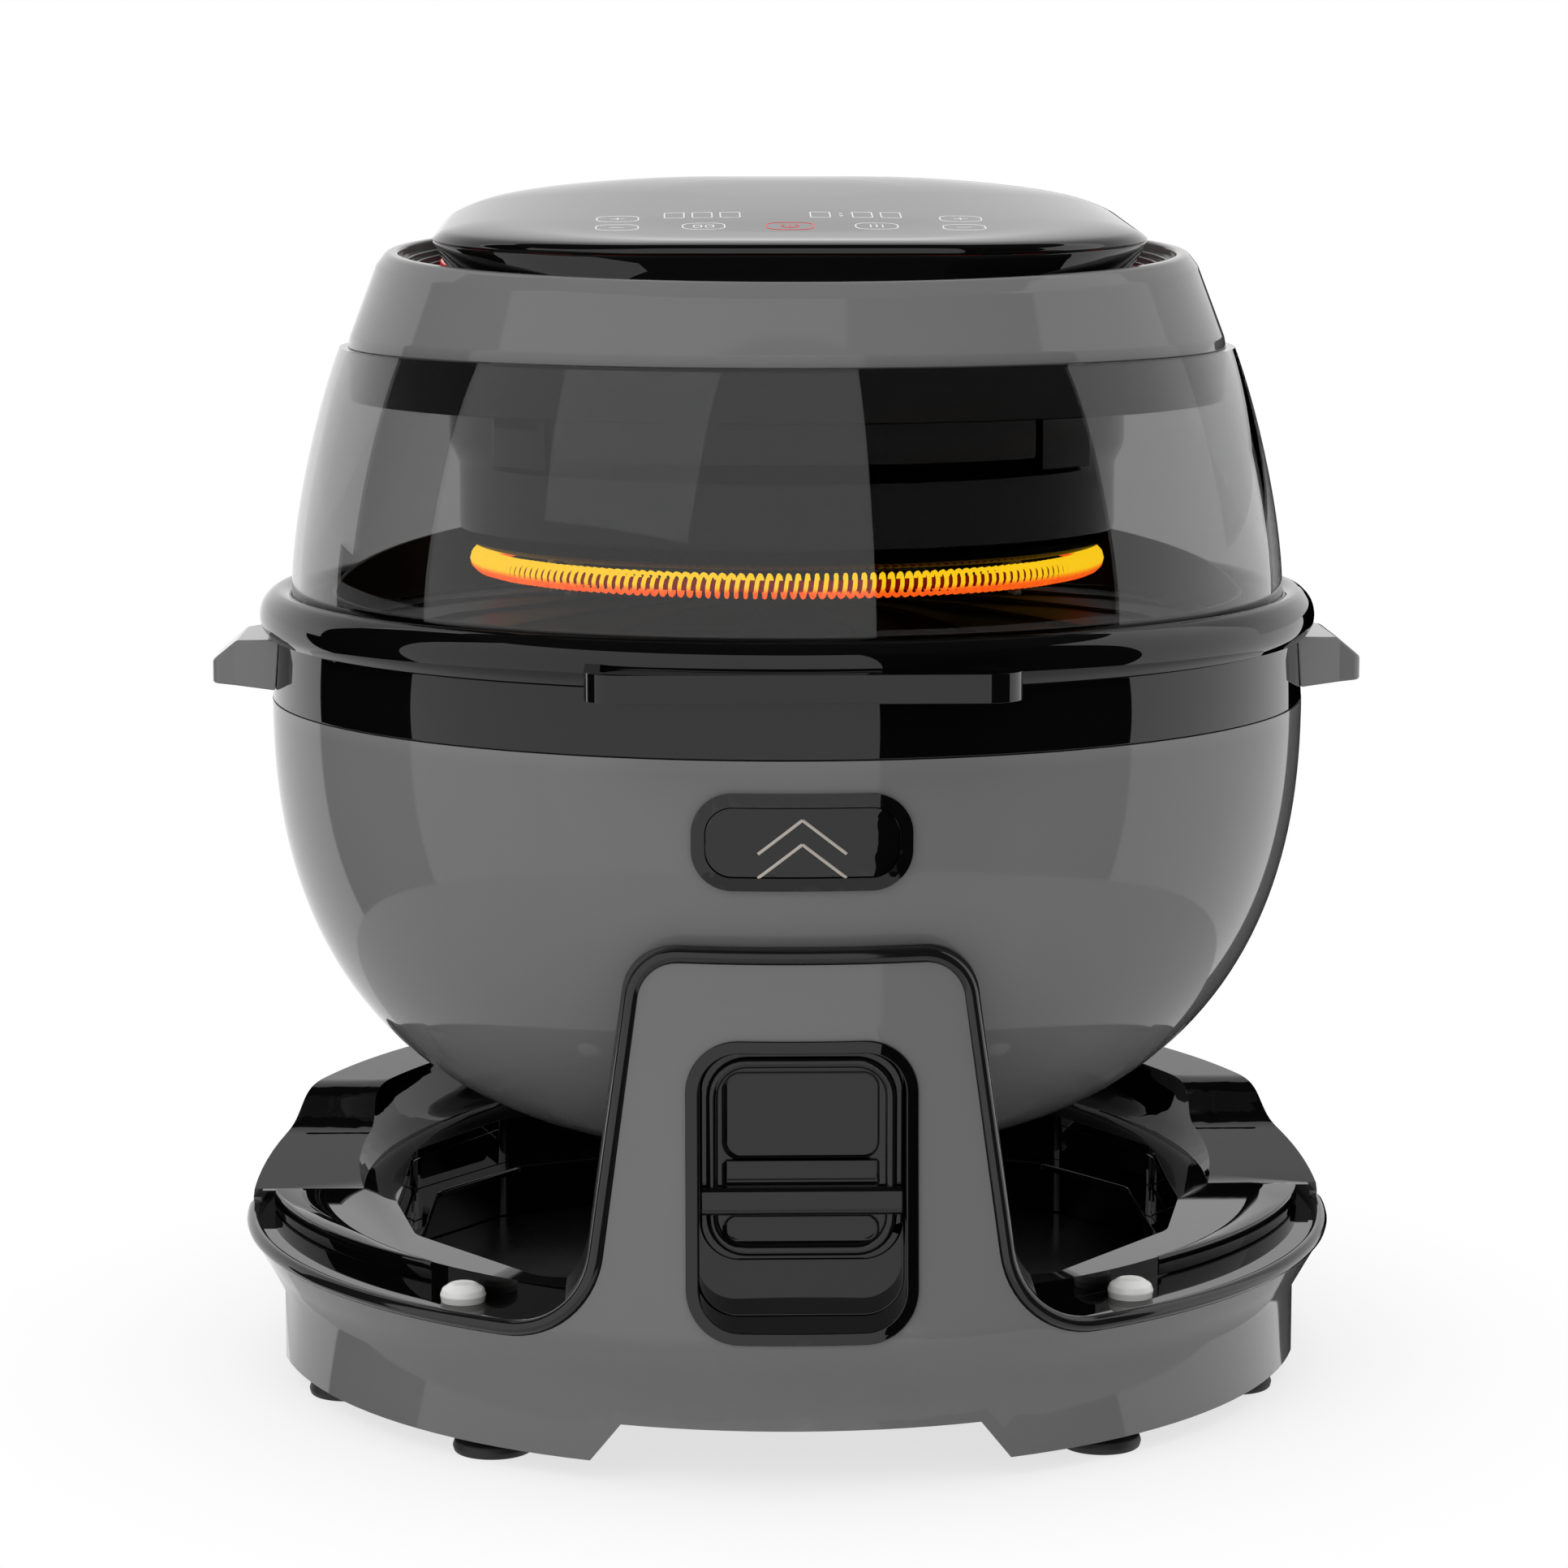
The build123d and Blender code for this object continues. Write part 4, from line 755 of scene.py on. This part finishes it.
class GRILL_OT_lid_rim(bpy.types.Operator):
    """Add the lid's half-round flange, its gasket and the front tab"""
    bl_idname = "grill.lid_rim"
    bl_label = "Lid rim"

    def execute(self, context):
        bulge = smooth_line([(181.5, 258.7), (183.5, 261.6), (184.0, 265.6), (182.9, 269.6), (180.4, 272.6),
                             (178.2, 273.8)], 6)
        outline = [(168.4, 258.7)] + bulge + [(175.6, 273.5), (173.4, 272.7), (173.0, 272.2), (173.0, 270.0),
                                              (168.4, 270.0)]
        stand_in(turned("lid_flange_skin", outline), "gloss", "lid_flange")
        dressed("lid_gasket", "rubber", width=0)
        dressed("lid_tab", "gloss", width=0.9, segments=4)
        return {"FINISHED"}


def dome_radius(share):
    """Outer radius of the dome at a share of its height, foot to top."""
    return 172.9 - 29.4 * share ** 2 + 20.92 * share ** 3 - 9.15 * share ** 4


class GRILL_OT_dome(bpy.types.Operator):
    """Add the smoked dome and the black deck under the collar"""
    bl_idname = "grill.dome"
    bl_label = "Smoked dome"

    def execute(self, context):
        foot, height, wall, steps = 270.0, 87.0, 3.0, 36
        outer = [(dome_radius(step / steps), foot + height * step / steps) for step in range(steps + 1)]
        inner = [(radius - wall, up) for radius, up in reversed(outer)]
        stand_in(turned("smoked_dome", outer + inner), "smoke", "dome")
        deck = rounded([(5.0, 354.0, 0), (149.1, 354.0, 1.0), (149.1, 339.0, 0.6), (151.9, 339.0, 0.8),
                        (151.9, 357.0, 0), (5.0, 357.0, 0)])
        stand_in(turned("lid_deck_skin", deck), "gloss", "lid_deck")
        return {"FINISHED"}


class GRILL_OT_collar(bpy.types.Operator):
    """Add the grey collar, the stepped vent ring and the red accent ring"""
    bl_idname = "grill.collar"
    bl_label = "Collar and vents"
    middle_rise, slope = 2.4, 0.047
    tilt_foot, tilt_height = 361.0, 20.0

    def execute(self, context):
        collar = rounded([(149.0, 357.0, 0), (152.2, 357.0, 0.3), (151.5, 360.8, 4.0), (142.2, 383.0, 5.0),
                          (138.6, 387.6, 3.0), (134.6, 387.6, 1.2), (134.5, 383.6, 0), (139.0, 380.0, 0),
                          (144.4, 369.0, 0), (148.6, 360.0, 0)], 8)
        accent = rounded([(117.5, 378.2, 0), (120.1, 378.2, 0), (120.1, 384.7, 0.7), (117.5, 384.7, 0.7)])
        self.tilted(collar, "grey", "collar")
        self.tilted(self.vent_steps(), "grey", "vent_ring")
        self.tilted(accent, "red", "accent_ring")
        return {"FINISHED"}

    def vent_steps(self):
        """Outline of the vent ring, which goes down inwards in five steps."""
        count, first_top, first_edge, down, inward, thick = 5, 384.2, 134.5, 1.5, 2.7, 2.6
        upper, lower = [], []
        for step in range(count):
            top, edge = first_top - down * step, first_edge - inward * step
            inner = edge - inward if step < count - 1 else 116.5
            if step == 0:
                upper += [(edge, top, 0.3), (edge - 0.9, top, 0.3)]
            else:
                upper += [(edge, top - 1.2, 0), (edge - 0.8, top - 1.2, 0), (edge - 0.8, top, 0.35)]
            upper.append((inner, top, 0.35))
            lower += [(edge, top - thick, 0), (inner, top - thick, 0)]
        return rounded(upper + lower[::-1], 3)

    def tilted(self, outline, material, node):
        """A turned ring whose upper part tilts, low in front and high at the back."""
        bm = turned_bm(outline)
        for vert in bm.verts:
            share = min(1.0, max(0.0, (vert.co.z / MM - self.tilt_foot) / self.tilt_height))
            vert.co.z += share * (self.middle_rise * MM + self.slope * vert.co.y)
        stand_in(mesh_object(node + "_skin", bm), material, node)


class GRILL_OT_heater(bpy.types.Operator):
    """Add the heater housing, the glowing coil on its core, clips, guard and probe"""
    bl_idname = "grill.heater"
    bl_label = "Heater"

    def execute(self, context):
        drum = rounded([(5.0, 354.0, 0), (117.5, 354.0, 1.0), (117.5, 324.0, 3.0), (114.3, 317.0, 3.0),
                        (114.3, 288.6, 8.0), (96.0, 288.6, 0.5), (96.0, 290.6, 0.5), (111.5, 290.6, 6.0),
                        (112.3, 317.0, 2.0), (115.5, 324.0, 2.0), (115.5, 352.0, 1.0), (5.0, 352.0, 0)], 8)
        clips = []
        for side in (-1, 1):
            clip = rounded([(117.2, 319.5, 0), (119.1, 319.5, 0.5), (119.1, 340.5, 0.5), (117.2, 340.5, 0)])
            keep = prism("keep", box_outline(18.0, 30.0, 2.0, side * 91.0, 330.0), "front", -130, 0)
            clips.append(cut(turned("clip", clip), keep, "INTERSECT"))
        stand_in(joined("heater_housing_skin", [turned("drum", drum)] + clips), "enamel", "heater_housing")
        self.coil(context)
        dressed("heater_core", "red", width=0)
        dressed("heater_clips", "steel", width=0.2)
        dressed("terminal_block", "ceramic")
        dressed("fan_guard", "zinc", width=0.3)
        dressed("temperature_probe", "steel", width=0.3)
        return {"FINISHED"}

    def coil(self, context):
        """Wind the heater wire as a helix bent round under the drum, open at the terminal block."""
        shape = context.scene.grill_shape
        start, sweep, per_turn = 102.0, 336.0, 12
        ring_radius, ring_height, turn_radius = 106.5, 283.4, 3.6
        points = []
        for step in range(shape.coil_turns * per_turn + 1):
            turn = step / per_turn
            along = math.radians(start + sweep * turn / shape.coil_turns)
            out = (ring_radius + turn_radius * math.cos(math.tau * turn)) * MM
            up = (ring_height + turn_radius * math.sin(math.tau * turn)) * MM
            points.append((out * math.cos(along), out * math.sin(along), up))
        coil = wire("heater_winding", points, shape.coil_wire / 2, sides=1)
        stand_in(coil, "glow", "heater_coil")


class GRILL_OT_fans(bpy.types.Operator):
    """Add the fan motor with its bracket and shaft, the hot air fan and the cooling fan"""
    bl_idname = "grill.fans"
    bl_label = "Fans"

    def execute(self, context):
        dressed("fan_motor", "zinc", width=1.0)
        dressed("motor_bracket", "zinc", width=0.3)
        dressed("motor_shaft", "steel", width=0.3)
        dressed("hot_air_fan", "zinc", width=0.3)
        dressed("cooling_fan", "satin", width=0.2)
        return {"FINISHED"}


# Width, depth, corner radius, middle's Y, height and tilt in degrees, from the crease up
HEAD_SECTIONS = ((242, 230, 74, 3, 396.2, 2.5), (231, 219, 71, -1, 400.6, 3.2),
                 (204, 197, 64, -6, 404.0, 4.8), (154, 166, 52, -12, 405.4, 6.2),
                 (92, 130, 38, -15, 405.9, 6.9))


def head_ring(section, around=160):
    """Points of a tilted rounded rectangle, evenly spaced, starting at the right."""
    width, depth, corner, middle, height, tilt = section
    straight_x, straight_y = width / 2 - corner, depth / 2 - corner
    arc = corner * math.pi / 2
    quarter = straight_x + straight_y + arc
    tilted = math.radians(tilt)
    points = []
    for index in range(around):
        turn, rest = divmod(4 * quarter * index / around, quarter)
        turn = int(turn) % 4
        first, second = (straight_y, straight_x) if turn % 2 == 0 else (straight_x, straight_y)
        if rest < first:
            x, y = corner + second, rest
        elif rest < first + arc:
            angle = (rest - first) / corner
            x, y = second + corner * math.cos(angle), first + corner * math.sin(angle)
        else:
            x, y = second - (rest - first - arc), first + corner
        for _ in range(turn):
            x, y = -y, x
        points.append((x, middle + y * math.cos(tilted), height + y * math.sin(tilted)))
    return points


def ring_stack(name, sections, sharp, cap=False):
    """A skin through the rings of the sections, first to last, closed at its end when cap is set."""
    rings = [head_ring(section) for section in sections]
    bm = bmesh.new()
    count = len(rings[0])
    verts = [bm.verts.new(tuple(part * MM for part in point)) for point in rings[0]]
    edges = [bm.edges.new((verts[i], verts[(i + 1) % count])) for i in range(count)]
    for ring in rings[1:]:
        pushed = bmesh.ops.extrude_edge_only(bm, edges=edges)["geom"]
        fresh = {item for item in pushed if isinstance(item, bmesh.types.BMVert)}
        ordered = []
        for vert in verts:
            ends = [edge.other_vert(vert) for edge in vert.link_edges]
            ordered.append(next(end for end in ends if end in fresh))
        for vert, point in zip(ordered, ring):
            vert.co = tuple(part * MM for part in point)
        verts = ordered
        edges = [item for item in pushed if isinstance(item, bmesh.types.BMEdge)
                 and item.verts[0] in fresh and item.verts[1] in fresh]
    if cap:
        bmesh.ops.contextual_create(bm, geom=edges)
        top = max(bm.faces, key=lambda face: len(face.verts))
        bmesh.ops.poke(bm, faces=[top])
    bmesh.ops.recalc_face_normals(bm, faces=bm.faces[:])
    return mesh_object(name, bm, sharp)


class GRILL_OT_head(bpy.types.Operator):
    """Add the control head: neck, housing, glossy cover, board and display"""
    bl_idname = "grill.head"
    bl_label = "Control head"

    def execute(self, context):
        neck = rounded([(110.5, 357.0, 0), (113.0, 357.0, 0), (113.0, 385.0, 0.4), (32.0, 385.0, 0),
                        (32.0, 383.4, 0), (110.5, 383.4, 0)])
        stand_in(turned("head_neck", neck), "satin", "head_base")
        stand_in(self.housing(), "gloss", "head_housing")
        made["cover"] = self.cover()
        stand_in(made["cover"], "gloss", "control_cover")
        dressed("control_board", "board", width=0.2)
        dressed("display_module", "gloss", width=0.3)
        return {"FINISHED"}

    def housing(self):
        """The hollow lower part, from under its foot to just inside the crease."""
        foot, crease = (230, 234, 80, -1, 385.0, 1.8), HEAD_SECTIONS[0]
        width, depth, _, middle, height, tilt = crease
        sections = [(200, 200, 66, -1, 385.0, 1.8), (228, 232, 79, -1, 385.0, 1.8),
                    (230.6, 234.4, 80, -1, 385.9, 1.85)]
        for share in (0.25, 0.5, 0.75, 0.94):
            sections.append(tuple(low + (high - low) * share for low, high in zip(foot, crease)))
        sections.append((width - 0.6, depth - 0.6, 73.8, middle, height, tilt))
        housing = ring_stack("head_housing_skin", sections, 50)
        wall = housing.modifiers.new("Wall", "SOLIDIFY")
        wall.thickness = 1.6 * MM
        wall.offset = -1
        return housing

    def cover(self):
        """The glossy top, which curves from the crease to its middle."""
        width, depth, corner, middle, height, tilt = HEAD_SECTIONS[0]
        start = (width - 1.2, depth - 1.2, 73.6, middle, height, tilt)
        knuckle = (width - 0.1, depth - 0.1, corner, middle, height + 0.7, tilt)
        crown = smooth_line([knuckle, *HEAD_SECTIONS[1:]], 8)
        top_width, top_depth, top_corner, top_middle, top_height, top_tilt = HEAD_SECTIONS[-1]
        for share in (0.8, 0.6, 0.4, 0.2):
            crown.append((top_width * share, top_depth * share, top_corner * share, top_middle,
                          top_height + 0.5 * (1 - share ** 2), top_tilt))
        return ring_stack("control_cover_skin", [start, *crown], 60, cap=True)


class GRILL_OT_legends(bpy.types.Operator):
    """Print the plain digits and touch keys on the cover"""
    bl_idname = "grill.legends"
    bl_label = "Digits and keys"

    def execute(self, context):
        self.line = context.scene.grill_shape.legend_line
        self.cover = BVHTree.FromObject(made["cover"], context.evaluated_depsgraph_get())
        digits = (-39.2, -29.8, -20.4, 10.0, 24.2, 33.8)
        plus_keys = ((-58.2, -50.0), (57.0, -50.0))
        minus_keys = ((-58.2, -70.0), (57.0, -70.0))
        middle_keys = ((-29.5, -68.0), (28.0, -68.0))
        power_x, power_y, ring_radius = -0.8, -68.0, 3.0
        frames = [box_outline(6.6, 12.0, 0.8, x, -43.5, 2) for x in digits]
        frames += [box_outline(0.9, 0.9, 0.3, 17.0, y, 2) for y in (-41.0, -46.0)]
        frames += [box_outline(14.0, 13.0, 4.5, x, y, 5) for x, y in plus_keys + minus_keys + middle_keys]
        frames += [box_outline(2.6, 5.0, 0.8, x, -68.0, 3) for x in (-31.5, -27.5)]
        bars = [[(x - 2.4, y), (x + 2.4, y)] for x, y in plus_keys + minus_keys]
        bars += [[(x, y - 2.4), (x, y + 2.4)] for x, y in plus_keys]
        bars += [[(x, -71.0), (x, -65.0)] for x in (26.0, 28.0, 30.0)]
        pale = [self.stroke(line, closed=True) for line in frames] + [self.stroke(line) for line in bars]
        angles = [math.radians(40 + 280 * step / 14) for step in range(15)]
        ring = [(power_x + ring_radius * math.sin(a), power_y + ring_radius * math.cos(a)) for a in angles]
        red = [self.stroke(box_outline(15.6, 15.0, 5.0, power_x, power_y, 5), closed=True),
               self.stroke(ring), self.stroke([(power_x, -68.4), (power_x, -63.8)])]
        place(joined("legend_digits_and_keys", pale), "lid", "legend")
        place(joined("legend_power_key", red), "lid", "power")
        return {"FINISHED"}

    def stroke(self, line, closed=False):
        """A thin raised line on the cover along points (x, y)."""
        ends = line[1:] + line[:1] if closed else line[1:]
        dense = []
        for (x, y), (next_x, next_y) in zip(line, ends):
            parts = max(1, int(math.hypot(next_x - x, next_y - y) / 1.5))
            dense += [(x + (next_x - x) * i / parts, y + (next_y - y) * i / parts) for i in range(parts)]
        if not closed:
            dense.append(line[-1])
        points = []
        for x, y in dense:
            hit = self.cover.ray_cast(Vector((x * MM, y * MM, 0.6)), Vector((0, 0, -1)))[0]
            points.append((hit.x, hit.y, hit.z - self.line * 0.3))
        return wire("stroke", points, self.line / 2, cyclic=closed, sides=1)


class GRILL_OT_lid_screws(bpy.types.Operator):
    """Add the screws under the lid deck"""
    bl_idname = "grill.lid_screws"
    bl_label = "Lid screws"

    def execute(self, context):
        dressed("lid_screws", "steel", width=0.3)
        return {"FINISHED"}


class GRILL_OT_stage(bpy.types.Operator):
    """Add the pale floor, the soft light and the camera"""
    bl_idname = "grill.stage"
    bl_label = "Stage"

    def execute(self, context):
        self.floor()
        self.surroundings(context.scene.grill_stage)
        self.lamps()
        self.camera(context.scene)
        context.scene.view_settings.view_transform = "Standard"
        return {"FINISHED"}

    def camera(self, scene):
        """Stand where the photograph was taken from, as fitted to its ellipses and level lines."""
        spot, way = (-0.0420, -1.5637, 0.434), Vector((0.0259, 0.9889, -0.1465))
        data = bpy.data.cameras.new("Camera")
        data.lens = 102.74
        data.sensor_width = 36.0
        data.clip_end = 50.0
        camera = bpy.data.objects.new("Camera", data)
        scene.collection.objects.link(camera)
        camera.location = spot
        camera.rotation_euler = way.to_track_quat("-Z", "Y").to_euler()
        scene.camera = camera

    def floor(self):
        """A pale floor that looks white further out and keeps the object's shadow."""
        shadow_reach, white_reach, near_white = 0.17, 0.34, 0.72
        bm = bmesh.new()
        bmesh.ops.create_circle(bm, cap_ends=True, segments=96, radius=9.0)
        floor = mesh_object("studio_floor", bm)
        material, tree, surface = new_material("Pale floor", **{
            "Base Color": (0.86, 0.86, 0.86, 1), "Roughness": 0.9, "Specular IOR Level": 0.0})
        where = tree.nodes.new("ShaderNodeTexCoord")
        far = tree.nodes.new("ShaderNodeVectorMath")
        far.operation = "LENGTH"
        feed(tree, far.inputs[0], where.outputs["Object"])
        whiter = spread(tree, far.outputs["Value"], shadow_reach, white_reach, near_white, smooth=True)
        white = tree.nodes.new("ShaderNodeEmission")
        mix = tree.nodes.new("ShaderNodeMixShader")
        feed(tree, mix.inputs[0], math_node(tree, "MULTIPLY", seen_directly(tree), whiter))
        feed(tree, mix.inputs[1], surface.outputs[0])
        feed(tree, mix.inputs[2], white.outputs[0])
        feed(tree, tree.nodes["Material Output"].inputs["Surface"], mix.outputs[0])
        floor.data.materials.append(material)
        floor.visible_glossy = False

    def surroundings(self, settings):
        """Tall soft boxes round the object with dark gaps between them, and white straight behind.

        The limits of the backdrop, ground and ceiling are the Z, or Y, of a direction of length 1.
        """
        backdrop_foot, backdrop_front, ground_top = 0.03, 0.5, -0.42
        ceiling_foot, ceiling_level = 0.78, 0.02
        world = bpy.data.worlds.new("Studio")
        bpy.context.scene.world = world
        world.use_nodes = True
        tree = world.node_tree
        where = tree.nodes.new("ShaderNodeTexCoord")
        way = tree.nodes.new("ShaderNodeSeparateXYZ")
        feed(tree, way.inputs["Vector"], where.outputs["Generated"])
        x, y, z = way.outputs
        azimuth = math_node(tree, "ARCTAN2", x, math_node(tree, "MULTIPLY", y, -1.0))
        around = self.soft_boxes(tree, spread(tree, azimuth, -math.pi, math.pi))
        boxes = mix_colours(tree, 1.0, around, self.even(settings.box), "MULTIPLY")
        high = math_node(tree, "GREATER_THAN", z, backdrop_foot)
        behind = math_node(tree, "GREATER_THAN", y, backdrop_front)
        fall = spread(tree, z, 0.12, 0.6, 0.95, 0.6, smooth=True)
        seen = mix_colours(tree, math_node(tree, "MULTIPLY", high, behind), boxes, fall)
        steep = math_node(tree, "LESS_THAN", z, ground_top)
        seen = mix_colours(tree, steep, seen, self.even(settings.ground))
        overhead = math_node(tree, "GREATER_THAN", z, ceiling_foot)
        seen = mix_colours(tree, overhead, seen, self.even(ceiling_level))
        rays = tree.nodes.new("ShaderNodeLightPath")
        mirrored = math_node(tree, "SUBTRACT", 1.0, rays.outputs["Is Diffuse Ray"])
        level = mix_colours(tree, mirrored, self.even(settings.fill), seen)
        unmirrored = math_node(tree, "LESS_THAN", rays.outputs["Glossy Depth"], 0.5)
        through = math_node(tree, "MULTIPLY", unmirrored, rays.outputs["Is Transmission Ray"])
        clear = math_node(tree, "MAXIMUM", rays.outputs["Is Camera Ray"], through)
        level = mix_colours(tree, clear, level, self.even(1))
        feed(tree, tree.nodes["Background"].inputs["Color"], level)

    def soft_boxes(self, tree, share):
        """Level round the object: from each angle in degrees, 0 in front, up to the next one."""
        ramp = tree.nodes.new("ShaderNodeValToRGB")
        ramp.color_ramp.interpolation = "CONSTANT"
        stops = ramp.color_ramp.elements
        stops[0].position = 0.0
        stops[0].color = self.even(1)
        stops.remove(stops[1])
        levels = ((-127.6, 0.0), (-91.6, 1.0), (17.7, 0.0), (77.4, 1.2), (147.0, 0.0), (176.0, 1.0))
        for angle, level in levels:
            stop = stops.new((angle + 180.0) / 360.0)
            stop.color = self.even(level)
        feed(tree, ramp.inputs["Fac"], share)
        return ramp.outputs["Color"]

    def even(self, level):
        return level, level, level, 1

    def lamps(self):
        target = Vector((0, 0, 0.2))
        for label, spot, size, power in (("Key", (-1.4, -1.6, 1.6), 1.6, 12.0),
                                         ("Top", (0.1, 0.1, 2.0), 1.8, 10.0)):
            data = bpy.data.lights.new(label, "AREA")
            data.shape = "SQUARE"
            data.size = size
            data.energy = power
            lamp = bpy.data.objects.new(label, data)
            bpy.context.scene.collection.objects.link(lamp)
            lamp.location = spot
            lamp.rotation_euler = (target - Vector(spot)).to_track_quat("-Z", "Y").to_euler()
            lamp.visible_glossy = False


class GRILL_PT_panel(bpy.types.Panel):
    bl_idname = "GRILL_PT_panel"
    bl_label = "Air fryer grill"
    bl_space_type = "VIEW_3D"
    bl_region_type = "UI"
    bl_category = "Grill"

    def draw(self, context):
        for settings in (context.scene.grill_finish, context.scene.grill_shape, context.scene.grill_stage):
            column = self.layout.column()
            for label in settings.__annotations__:
                column.prop(settings, label)
        for operator in OPERATORS:
            self.layout.operator(operator.bl_idname)


SETTINGS = (GrillFinishSettings, GrillShapeSettings, GrillStageSettings)
OPERATORS = (GRILL_OT_stand, GRILL_OT_feet, GRILL_OT_latch, GRILL_OT_bowl, GRILL_OT_button, GRILL_OT_pot,
             GRILL_OT_hinge, GRILL_OT_lid_rim, GRILL_OT_dome, GRILL_OT_collar, GRILL_OT_heater, GRILL_OT_fans,
             GRILL_OT_head, GRILL_OT_legends, GRILL_OT_lid_screws, GRILL_OT_stage)


def register():
    for item in SETTINGS + OPERATORS + (GRILL_PT_panel,):
        bpy.utils.register_class(item)
    bpy.types.Scene.grill_finish = PointerProperty(type=GrillFinishSettings)
    bpy.types.Scene.grill_shape = PointerProperty(type=GrillShapeSettings)
    bpy.types.Scene.grill_stage = PointerProperty(type=GrillStageSettings)


def unregister():
    del bpy.types.Scene.grill_finish
    del bpy.types.Scene.grill_shape
    del bpy.types.Scene.grill_stage
    for item in reversed(SETTINGS + OPERATORS + (GRILL_PT_panel,)):
        bpy.utils.unregister_class(item)


def main():
    register()
    build_materials()
    for operator in OPERATORS:
        group, label = operator.bl_idname.split(".")
        getattr(getattr(bpy.ops, group), label)()


if __name__ == "__main__":
    main()
